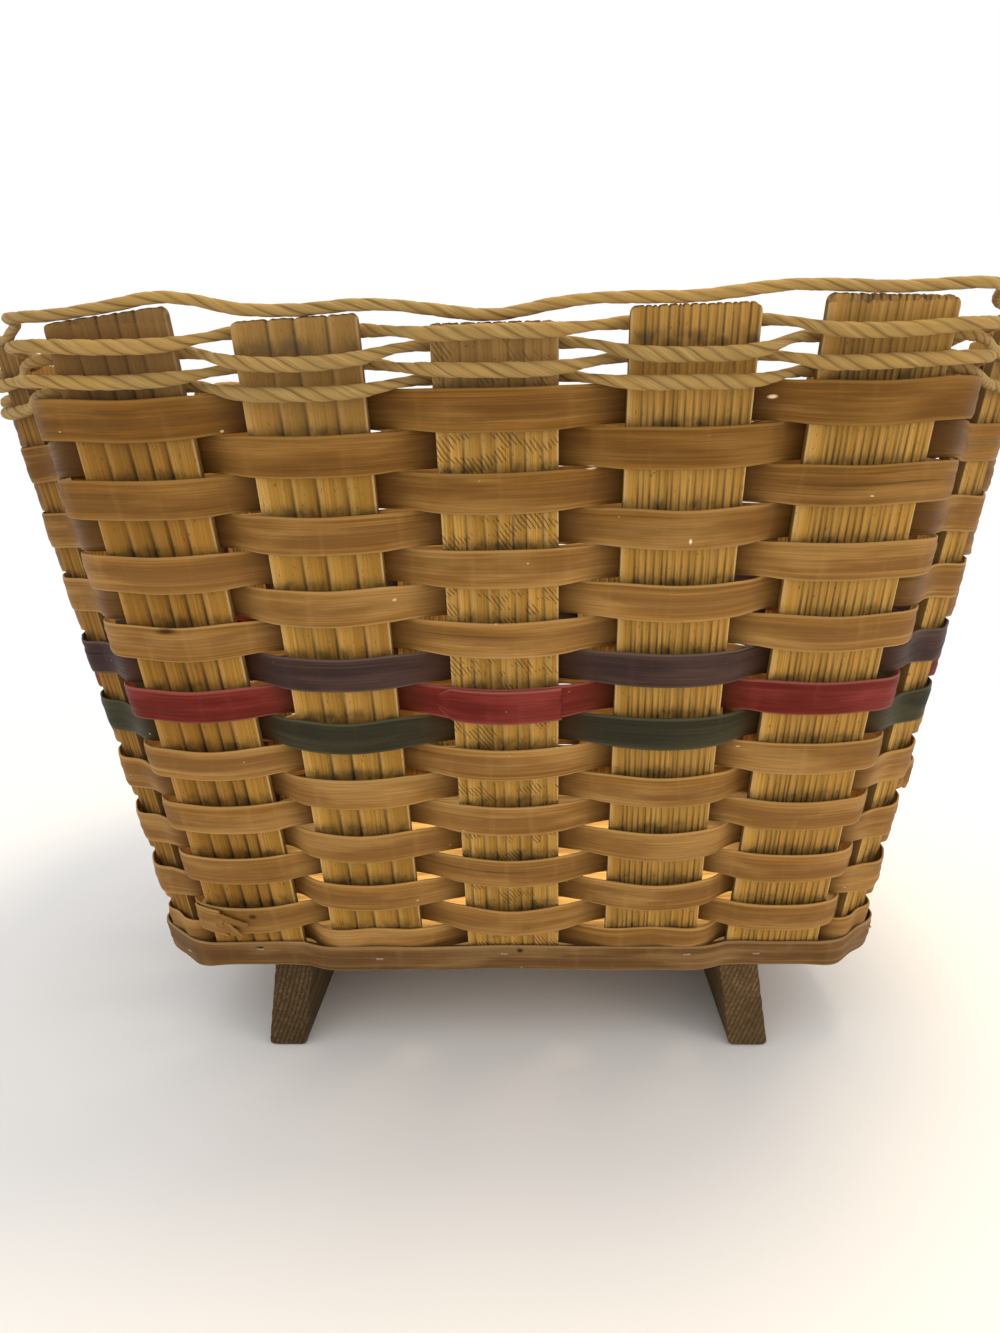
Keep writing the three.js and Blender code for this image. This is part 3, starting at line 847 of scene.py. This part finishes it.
class Splint:
    """A row of flat splint: its woven path, its turns and swells, and the strip carried along it."""

    def __init__(self, level, first, offsets, sizes, height, thickness, seed, fullness=1.0):
        rng = np.random.default_rng(seed)
        ring = Ring(level, first, sizes)
        self.seed, self.ring, self.width = seed, ring, sizes.stake_width
        self.height, self.thickness = height, thickness
        self.offset = ring.through(offsets(rng), SPLINT_REACH)
        drift = rng.uniform(-0.45, 0.45, (COUNT, 4)) * MM * np.array([0.35, 1, 0.35, 0])
        shift = ring.through(drift) + ring.waver(rng, 0.05 * MM, 40)
        self.path, _, self.out = ring.follow(self.offset, shift)
        lean = rng.uniform(-2.5, 2.5, (COUNT, 4)) * np.array([0.5, 1, 0.5, 0.2])
        self.lean = np.radians(ring.through(lean))
        uneven = rng.uniform(-0.02, 0.015, (COUNT, 4)) * np.array([0.4, 1, 0.4, 0])
        self.wide = ring.through(1 + (np.array([0.07, 0.085, 0.07, 0]) + uneven) * fullness)
        a, b = splint_section(thickness, height)
        relief = np.zeros((len(self.path), len(a)))
        for _ in range(8):
            centre = rng.uniform(-0.85, 0.85) * height / 2
            width = rng.uniform(0.35, 1.1) * MM
            strength = ring.waver(rng, 0.2 * MM, 16)
            relief += np.exp(-((b[None, :] - centre) / width) ** 2) * strength[:, None]
        flat = np.abs(b) < height * 0.49
        self.a, self.b = a[None, :] + relief * (np.sign(a) * flat)[None, :], b

    def sweep(self, stations, lift=0.0):
        """The strip's surface at stations that may lie between the path's own, lifted outwards."""
        count = len(self.path)

        def read(values):
            low = np.floor(stations).astype(int)
            t = stations - low
            t = t[..., None] if values.ndim > 1 else t
            return values[low % count] * (1 - t) + values[(low + 1) % count] * t

        if stations.ndim == 1:
            stations = np.broadcast_to(stations[:, None], (len(stations), self.a.shape[1]))
        columns = np.broadcast_to(np.arange(self.a.shape[1]), stations.shape)
        near = np.round(stations).astype(int) % count
        lean = read(self.lean)
        a = self.a[near, columns] + np.reshape(lift, (-1, 1))
        b = self.b[columns] * read(self.wide)
        outwards = a * np.cos(lean) - b * np.sin(lean)
        upwards = a * np.sin(lean) + b * np.cos(lean)
        aside = read(self.out) * outwards[..., None] + read(self.ring.rise) * upwards[..., None]
        return read(self.path) + aside

    def maps(self, stations, offset, grain_shift=0.0):
        """Grain and edge maps for a strip of those stations."""
        a, b = splint_section(self.thickness, self.height)
        across = closed(np.where(a < 0, self.height - b, b), 1.5 * self.height)
        run = np.interp(stations, np.arange(len(self.path) + 1), closed(self.ring.at, self.ring.total))
        run += self.seed * 1.37 + grain_shift
        # How far out of the basket each point lies, which the material turns into painted shade behind the
        # stakes and in the gaps.
        facing = np.where(closed(a)[None, :] < 0, -1, 1) * (offset / (5.6 * MM))[:, None]
        return {
            "grain": (run[:, None], across),
            "edge": (closed(np.abs(b) / (self.height / 2)), facing),
        }

    def whole(self, name):
        """The closed ring of splint."""
        count = len(self.path)
        grid = self.sweep(np.arange(count, dtype=float))
        return skin(name, grid, self.maps(np.arange(count + 1.0), closed(self.offset)))

    def station(self, stake, sideways):
        """Where along the ring a stake is crossed, sideways from its middle."""
        step = self.width * STAKES[stake].share / STAKE_STEPS
        return ((stake - self.ring.first) * STEPS) % len(self.path) + sideways / step

    def lap(self, name, stake, end, clear, ragged):
        """The splint's loose end lying over the row, from a gap to its ragged cut on a stake."""
        rng = np.random.default_rng(self.seed + LAP_SEED)
        first, last = self.station(stake, -29 * MM), self.station(stake, end)
        stations = np.linspace(first, last, int(abs(last - first) * 1.5))
        t = np.linspace(0, 1, len(stations))
        lift = (self.thickness + 0.12 * MM) * np.minimum(1, t / 0.3) + clear * t**2
        b = self.b / (self.height / 2)
        tear = sum(rng.uniform(0.3, 1) * np.sin(b * k + rng.uniform(0, 6)) for k in (3, 7, 15))
        tear = (tear - tear.max()) * ragged / (self.width / STAKE_STEPS) / 2
        near_end = np.clip((t - 0.75) / 0.25, 0, 1)[:, None]
        grid = self.sweep(stations[:, None] + near_end * tear[None, :], lift)
        shrink = np.where(t < 0.2, 1 - 0.9 * np.clip(1 - t / 0.2, 0, 1), 1)
        middle = grid.mean(1, keepdims=True)
        grid = middle + (grid - middle) * shrink[:, None, None]
        offset = np.interp(stations, np.arange(len(self.path)), self.offset)
        return skin(name, grid, self.maps(stations, offset, 0.61), "shared")


def make_splinter(name, stake, sizes, route, widths, thickness, seed):
    """A torn sliver of splint along a route of (sideways, level, outwards) points, in mm."""
    rng = np.random.default_rng(seed)
    steps = 16
    t = np.linspace(0, 1, steps)
    knots = np.linspace(0, 1, len(route))
    side, level, out = (np.interp(t, knots, [p[k] for p in route]) * MM for k in range(3))
    width = np.interp(t, np.linspace(0, 1, len(widths)), widths) * MM
    width *= 1 + 0.08 * np.sin(t * 23 + rng.uniform(0, 6))
    face = sizes.stake_thickness / 2
    path = np.array([
        stake.at(z, x, sizes.stake_thickness) + stake.n * (y + face) for x, z, y in zip(side, level, out)])
    along = unit(np.gradient(path, axis=0))
    across = unit(np.cross(stake.n, along))
    facing = np.cross(along, across)
    a, b = splint_section(thickness * MM, 1.0, 7)
    grid = (
        path[:, None] + facing[:, None] * a[None, :, None]
        + across[:, None] * (b[None, :] * width[:, None])[..., None]
    )
    run = np.concatenate([[0], np.cumsum(np.linalg.norm(np.diff(path, axis=0), axis=1))]) + seed * 0.77
    maps = {"grain": (run[:, None], closed(b * 0.006)), "edge": (closed(np.abs(b) * 1.6), 1.0)}
    return skin(name, grid, maps, "shared")


def make_cord(name, level, first, sizes, offsets, heights, girths, diameter, lay, seed, reach):
    """A ring of twisted cord: three uneven strands laid round each other, pressed flat where it bears."""
    rng = np.random.default_rng(seed)
    ring = Ring(level, first, sizes, fine=2)
    offset = ring.through(offsets(rng), reach)
    lift = ring.through(heights(rng), reach)
    path, along, out = ring.follow(offset, lift / ring.rise[:, 2])
    up = np.cross(out, along)
    sides = 36
    strands = 3
    turns = round(ring.total / lay)
    angle = FULL_TURN * np.arange(sides + 1) / sides
    twist = -FULL_TURN * turns * ring.at / ring.total + ring.waver(rng, 0.55, 30)
    spots = FULL_TURN * (np.arange(strands) + rng.uniform(-0.12, 0.12, strands)) / strands
    spots[0] = 0
    # How deep in a crease between strands each point lies, for the painted shade there.
    crease = np.zeros((len(path), sides + 1))
    for spot in spots:
        apart = (angle - spot + math.pi) % FULL_TURN - math.pi
        deep = 0.8 + ring.waver(rng, 0.22, 60)
        crease = np.maximum(crease, np.exp(-np.abs(apart / 0.3) ** 1.5)[None, :] * deep[:, None])
    lobes = np.sort(closed(spots, FULL_TURN))
    place = np.clip(np.searchsorted(lobes, angle, "right") - 1, 0, strands - 1)
    t = ((angle - lobes[place]) / (lobes[place + 1] - lobes[place])).clip(0, 1)
    lobe = (4 * t * (1 - t)) ** 0.5
    fine = sum(
        0.012 * np.sin(angle[None, :] * k + ring.waver(rng, 3, 40)[:, None]) for k in (9, 13, 17))
    size = 1 + ring.waver(rng, 0.03, 60)
    radius = diameter / 2 * size[:, None] * (0.84 + 0.16 * lobe[None, :] + fine)
    wide, deep = (ring.through(girth)[:, None] * radius for girth in girths)
    around = angle[None, :] + twist[:, None]
    grid = (
        path[:, None] + out[:, None] * (deep * np.cos(around))[..., None]
        + up[:, None] * (wide * np.sin(around))[..., None]
    )[:, :sides]
    run = closed(ring.at, ring.total) + seed * 0.73
    return skin(name, grid, {"lay": (run[:, None], angle * diameter / 2), "crease": (closed(crease), 0.0)})


def make_staples(name, places, length):
    """Small bent wires pressed into the band, each from its (middle, level direction, outward direction)."""
    points, faces = [], []
    sides, steps = 8, 9
    wire, depth = 0.36 * MM, 0.55 * MM
    t = np.linspace(-1, 1, steps)[:, None, None]
    a = FULL_TURN * np.arange(sides)[:, None] / sides
    for middle, along, out in places:
        first = len(points)
        centre = middle + along * t * length / 2 - out * depth * t**6
        aside = (np.cross(out, along) * np.cos(a) + out * np.sin(a)) * wire * (1 - 0.35 * t**8)
        points += (centre + aside).reshape(-1, 3).tolist()
        for k in range(steps - 1):
            here, there = first + k * sides, first + (k + 1) * sides
            for j in range(sides):
                n = (j + 1) % sides
                faces.append([here + j, here + n, there + n, there + j])
        last = first + (steps - 1) * sides
        faces.append([first + j for j in reversed(range(sides))])
        faces.append([last + j for j in range(sides)])
    return place_mesh(name, points, faces)


def runner_outline():
    """The runner's end: a board leaning outwards, worn round at its foot, as points in mm."""
    top, half = (STAND_HEIGHT - GAP) / MM, RUNNER_THICKNESS / MM / 2
    lean = top * math.tan(math.radians(RUNNER_SPLAY))
    corners = [(half, top, 0.8), (-half, top, 0.8), (-half + lean, 0, 2.2), (half + lean, 0, 3.4)]
    points = []
    for i, (x, z, r) in enumerate(corners):
        before, after = corners[i - 1], corners[(i + 1) % 4]
        here = np.array([x, z])
        to_before = unit(np.array(before[:2]) - here)
        to_after = unit(np.array(after[:2]) - here)
        start = here + to_after * r
        for k in range(7):
            t = k / 6
            points.append((1 - t) ** 2 * (here + to_before * r) + 2 * t * (1 - t) * here + t**2 * start)
        steps = 12 if i % 2 else 7
        end = np.array(after[:2]) - to_after * after[2]
        for k in range(1, steps):
            points.append(start + (end - start) * k / steps)
    return np.array(points)


def make_runner(name, sign):
    """One runner: a sawn board on edge, its ends showing the end grain."""
    rng = np.random.default_rng(RUNNER_SEED + sign)
    outline = runner_outline() * MM
    middle = outline.mean(0)
    half = RUNNER_LENGTH / 2
    # Rings of an end face from its middle outwards, then over its rounded rim: how far in from the
    # end each lies, and its share of the whole section.
    flat = [(0, share) for share in (0.02, 0.2, 0.4, 0.6, 0.78, 0.9, 0.955)]
    end = flat + [(0.25 * MM, 0.978), (0.7 * MM, 0.992)]
    rows = [(inset - half, share) for inset, share in end]
    rows += [(y, 1.0) for y in np.linspace(-1, 1, 60) * (half - 1.3 * MM)]
    rows += [(half - inset, share) for inset, share in reversed(end)]
    grid = np.empty((len(rows), len(outline), 3))
    phases = rng.uniform(0, 6, 8)
    away = unit(outline - middle)
    for i, (y, share) in enumerate(rows):
        place = middle + (outline - middle) * share
        if share > flat[-1][1]:
            wear = sum(
                0.09 * MM * np.sin(place[:, 1] * k + y * q + p)
                for k, q, p in zip((700, 1300, 2100, 3100), (6, 9, 14, 20), phases))
            place, ends = place + away * wear[:, None], 0
        else:
            ends = 0.12 * MM * np.sin(place[:, 0] * 900 + place[:, 1] * 1500 + phases[5])
        grid[i, :, 0] = sign * (place[:, 0] + RUNNER_SPACING / 2)
        grid[i, :, 1] = y - np.sign(y) * np.abs(ends)
        grid[i, :, 2] = place[:, 1].clip(0)
    if sign > 0:
        grid = grid[:, ::-1]
    return skin(name, grid, {}, "fan")


# Operators.


def sizes_and_colours(context):
    return context.scene.basket_sizes, context.scene.basket_colours


class BASKET_OT_stage(bpy.types.Operator):
    """Pale floor, soft studio light and the camera where the photograph was taken from"""

    bl_idname = "basket.stage"
    bl_label = "Stage, light and camera"

    def execute(self, context):
        self.make_floor(context.scene)
        self.make_light(context.scene)
        self.make_camera(context.scene)
        return {"FINISHED"}

    def make_floor(self, scene):
        corners = [(x * FLOOR_REACH, y * FLOOR_REACH, 0) for x, y in ((-1, -1), (1, -1), (1, 1), (-1, 1))]
        floor = place_mesh("studio_floor", corners, [(0, 1, 2, 3)])
        floor.data.materials.append(floor_paint(tuple(scene.basket_colours.floor)))

    def make_light(self, scene):
        world = bpy.data.worlds.new("studio_air")
        world.use_nodes = True
        air = world.node_tree.nodes["Background"]
        air.inputs["Color"].default_value = (1.0, 1.0, 1.0, 1)
        air.inputs["Strength"].default_value = 1.0
        scene.world = world
        scene.view_settings.view_transform = "Standard"
        for name, (kind, place, power, tone, settings) in LIGHTS.items():
            lamp = bpy.data.lights.new(name, kind)
            lamp.energy = power
            lamp.color = tone
            for key, value in settings.items():
                setattr(lamp, key, value)
            holder = bpy.data.objects.new(name, lamp)
            holder.location = place
            if kind == "AREA":
                aim = Vector(LIGHT_AIM) - Vector(place)
                holder.rotation_euler = aim.to_track_quat("-Z", "Y").to_euler()
            scene.collection.objects.link(holder)

    def make_camera(self, scene):
        pitch, yaw, roll = (math.radians(a) for a in (CAMERA_PITCH, CAMERA_YAW, CAMERA_ROLL))
        ahead = Vector((
            math.sin(yaw) * math.cos(pitch), math.cos(yaw) * math.cos(pitch), -math.sin(pitch)))
        level = Vector((math.cos(yaw), -math.sin(yaw), 0))
        above = level.cross(ahead)
        right = level * math.cos(roll) + above * math.sin(roll)
        top = above * math.cos(roll) - level * math.sin(roll)
        eye = bpy.data.cameras.new("camera")
        eye.sensor_width = CAMERA_SENSOR
        eye.lens = CAMERA_LENS
        eye.clip_start = 0.01
        camera = bpy.data.objects.new("camera", eye)
        turn = Matrix((right, top, -ahead)).transposed()
        camera.matrix_world = Matrix.Translation(CAMERA_PLACE) @ turn.to_4x4()
        scene.collection.objects.link(camera)
        scene.camera = camera


class BASKET_OT_stakes(bpy.types.Operator):
    """The twenty ridged uprights"""

    bl_idname = "basket.stakes"
    bl_label = "Stakes"

    def execute(self, context):
        sizes, colours = sizes_and_colours(context)
        wood = stake_wood(colours)
        for stake in STAKES:
            finish_piece(make_stake(stake, sizes), wood, "stake", f"stake_{stake.index + 1:02d}")
        return {"FINISHED"}


class BASKET_OT_splints(bpy.types.Operator):
    """The eighteen woven rows of flat splint, three of them dyed"""

    bl_idname = "basket.splints"
    bl_label = "Woven splints"

    def execute(self, context):
        sizes, colours = sizes_and_colours(context)
        finishes = self.finishes(colours)
        half = sizes.stake_thickness / 2
        edge = half + sizes.splint_thickness / 2 + GAP * 0.6
        rng = np.random.default_rng(LAP_PLACE_SEED)
        for row in range(1, ROWS + 1):
            def offsets(rng, row=row):
                # The lowest row lies flat under the foot band.
                if row == ROWS:
                    return woven(row, edge, edge)
                crown = half + sizes.crown_bow + 0.5 * MM * row / ROWS
                return woven(row, edge, crown + rng.uniform(-0.4, 0.4, COUNT) * MM)

            splint = Splint(
                row_level(row), hidden_stake(row), offsets, sizes,
                sizes.splint_height, sizes.splint_thickness, ROW_SEED + row)
            slot = DYED.get(row, "splint")
            name = f"splint_row_{row:02d}"
            finish_piece(splint.whole(name), finishes[slot], slot, f"weaver_{row:02d}")
            crossed = [i for i in LAPPED if in_front(row, i) == 1]
            stake, end, clear, ragged = int(rng.choice(crossed)), rng.uniform(-12, 16), 0.1, 0.6
            if DYED.get(row) == "splint_red":
                stake, end = 2, 20
            elif row == BROKEN_ROW:
                stake, end, clear, ragged = 0, -8, 0.7, 2.5
            if row < ROWS:
                lap = splint.lap(f"{name}_lap", stake, end * MM, clear * MM, ragged * MM)
                finish_piece(lap, finishes[slot], slot)
        self.make_break(sizes, finishes["splint"])
        return {"FINISHED"}

    def finishes(self, colours):
        """Each slot's material: the natural splint with its dark marks, pale flakes and painted highlights,
        and the dyes.
        """
        base, pale = tuple(colours.splint), (0.72, 0.48, 0.2)
        plum, red, green = tuple(colours.plum), tuple(colours.red), tuple(colours.green)
        return {
            "splint": splint_wood(
                "natural_splint", base, tint(base, pale, 0.35), shade(base, 0.48),
                tint(base, pale, 0.42), 0.6, SPLINT_MARKS, SPLINT_FLAKES_AND_HIGHLIGHTS),
            "splint_plum": splint_wood(
                "plum_splint", plum, shade(plum, 1.6), shade(plum, 0.5),
                tint(plum, (0.4, 0.3, 0.24), 0.3), 0.55),
            "splint_red": splint_wood(
                "red_splint", red, tint(red, (0.5, 0.13, 0.12), 0.3), shade(red, 0.5),
                tint(red, (0.6, 0.25, 0.2), 0.4), 0.6),
            "splint_green": splint_wood(
                "green_splint", green, shade(green, 1.7), shade(green, 0.5),
                tint(green, (0.3, 0.3, 0.2), 0.25), 0.5),
        }

    def make_break(self, sizes, wood):
        """The torn fork at the loose end of the broken row, over the first stake."""
        for number, (route, widths) in enumerate(SLIVERS):
            name = f"splint_row_{BROKEN_ROW}_sliver_{number + 1}"
            sliver = make_splinter(name, STAKES[0], sizes, route, widths, 1.2, SLIVER_SEED + number)
            finish_piece(sliver, wood, "splint")


class BASKET_OT_cords(bpy.types.Operator):
    """The four woven rows of twisted cord and the cord pinned along the rim"""

    bl_idname = "basket.cords"
    bl_label = "Twisted cords"

    def execute(self, context):
        sizes, colours = sizes_and_colours(context)
        fibre = cord_fibre(colours)
        half = sizes.stake_thickness / 2
        girths = (np.array([0.94, 1.0, 0.94, 0.66]), np.array([0.85, 0.85, 0.85, 0.7]))
        for row in range(1, CORD_ROWS + 1):
            def offsets(rng, row=row):
                return woven(row, half + CORD_REST + GAP, half + CORD_CROWN)

            def heights(rng, row=row):
                made = rng.uniform(-0.3, 0.3, (COUNT, 4)) * MM
                outside = passing(row)[:, None] == 1
                made -= CORD_DIP * np.where(outside, [0.8, 1, 0.8, 0.6], [0.5, 0.4, 0.5, 0.6])
                for (settled, stake), height in CORD_SETTLE.items():
                    if settled == row:
                        made[stake] += np.array([0.6, 1, 0.6, 0]) * height * MM
                return made

            made = make_cord(
                f"cord_row_{row}_twisted", cord_level(row), hidden_stake(row), sizes, offsets, heights,
                girths, sizes.cord_diameter, sizes.cord_lay, CORD_SEED + row, CORD_REACH)
            finish_piece(made, fibre, "cord", f"cord_row_{row}")

        girths = (np.array([0.95, 0.95, 0.95, 0.86]), np.array([1, 1.02, 1, 0.9]))
        made = make_cord(
            "rim_cord_twisted", PLAN_LEVEL + RIM_LOW, 11, sizes, self.rim_sway, self.rim_heights(sizes),
            girths, sizes.rim_cord_diameter, sizes.rim_cord_lay, RIM_SEED, 0.0)
        finish_piece(made, fibre, "cord", "rim_cord")
        return {"FINISHED"}

    def rim_sway(self, rng):
        return rng.uniform(-0.3, 0.3, (COUNT, 4)) * MM

    def rim_heights(self, sizes):
        """Heights of the rim cord: it bears on each top near its middle and hangs clear in between."""
        rest = sizes.rim_cord_diameter / 2 + 0.05 * MM

        def heights(rng):
            slack = rng.uniform((0.2, 0.4), (2.0, 2.4), (COUNT, 2)) * MM
            for i, clear in RIM_SLACK.items():
                slack[i] = np.array(clear) * MM
            made = np.zeros((COUNT, 4))
            for i, stake in enumerate(STAKES):
                here = stake.rise - stake.worn + rest
                slope = sizes.stake_width * stake.share / 2 * stake.tilt
                made[i, :3] = here - slope + slack[i, 0], here, here + slope + slack[i, 1]
            made[:, 3] = (made[:, 2] + np.roll(made[:, 0], -1)) / 2 + 0.5 * MM
            return made

        return heights


class BASKET_OT_base(bpy.types.Operator):
    """The stapled foot band, the base board and the two runners"""

    bl_idname = "basket.base"
    bl_label = "Band, board and runners"

    def execute(self, context):
        sizes, colours = sizes_and_colours(context)
        self.make_band(sizes, colours)
        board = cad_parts["base_board"]
        board.data.materials.clear()
        board.data.materials.append(sawn_wood(
            "board_wood", tuple(colours.board), (0, 0.02, -0.12), "x", 4.2 * MM, 0.55))
        # The left runner painted darker as shade, the right one lighter as painted light.
        for side, sign, painted_shading in (("left", -1, 0.75), ("right", 1, 1.1)):
            wood = sawn_wood(
                f"runner_{side}_wood", shade(tuple(colours.runner), painted_shading),
                (sign * 0.1 - 0.28, 0, 0.12), "y", 1.9 * MM, 0.7)
            finish_piece(make_runner(f"runner_{side}_board", sign), wood, "runner", f"runner_{side}")
        return {"FINISHED"}

    def make_band(self, sizes, colours):
        """The band lies on the bare stakes and over the lowest row in turn, and is stapled to each."""
        bare = np.arange(COUNT)[:, None] % 2 == 0
        half = sizes.stake_thickness / 2
        tight = half + GAP + BAND_THICKNESS / 2
        lapped = half + sizes.splint_thickness + 2 * GAP + BAND_THICKNESS / 2
        between, side = lapped - 0.2 * MM, (tight + lapped) / 2

        def offsets(rng):
            return np.where(bare, [side, tight, side, between], [lapped, lapped, lapped, between])

        band = Splint(
            STAND_HEIGHT + BAND_HEIGHT / 2, hidden_stake(0), offsets, sizes, BAND_HEIGHT,
            BAND_THICKNESS, BAND_SEED, 0.0)
        lift = np.where(bare, [0.3, 0.0, 0.3, 0.5], [0.5, 0.8, 0.5, 0.5]) * MM
        band.path += band.ring.rise * band.ring.through(lift)[:, None]
        finish_piece(band.whole("foot_band"), band_wood(colours), "band", "base_band")

        rng = np.random.default_rng(STAPLE_SEED)
        places = []
        for stake in STAKES:
            drawn = rng.uniform(-13, 13), rng.uniform(46, 51)
            sideways, high = STAPLES.get(stake.index, drawn)
            face = (tight if bare[stake.index, 0] else lapped) + BAND_THICKNESS / 2 + 0.1 * MM
            middle = stake.at(high * MM, sideways * MM, sizes.stake_thickness) + stake.n * face
            along = unit(stake.u + stake.v * rng.uniform(-0.15, 0.15))
            places.append((middle, along, unit(np.cross(along, np.cross(stake.n, along)))))
        staples = make_staples("foot_band_staples", places, sizes.staple_length)
        finish_piece(staples, staple_steel(colours), "band")


class BASKET_PT_panel(bpy.types.Panel):
    """Lists the basket's pieces in the sidebar"""

    bl_idname = "BASKET_PT_panel"
    bl_label = "Splint market basket"
    bl_space_type = "VIEW_3D"
    bl_region_type = "UI"
    bl_category = "Basket"

    def draw(self, context):
        for operator in OPERATORS:
            self.layout.operator(operator.bl_idname)
        for group in sizes_and_colours(context):
            for key in type(group).__annotations__:
                self.layout.prop(group, key)


OPERATORS = (BASKET_OT_stage, BASKET_OT_stakes, BASKET_OT_splints, BASKET_OT_cords, BASKET_OT_base)
CLASSES = (BasketSizes, BasketColours, *OPERATORS, BASKET_PT_panel)


def register():
    for item in CLASSES:
        bpy.utils.register_class(item)
    bpy.types.Scene.basket_sizes = PointerProperty(type=BasketSizes)
    bpy.types.Scene.basket_colours = PointerProperty(type=BasketColours)


def unregister():
    del bpy.types.Scene.basket_colours
    del bpy.types.Scene.basket_sizes
    for item in reversed(CLASSES):
        bpy.utils.unregister_class(item)


def main():
    """Makes the stage and every piece."""
    register()
    bpy.ops.basket.stage()
    bpy.ops.basket.stakes()
    bpy.ops.basket.splints()
    bpy.ops.basket.cords()
    bpy.ops.basket.base()


if __name__ == "__main__":
    main()
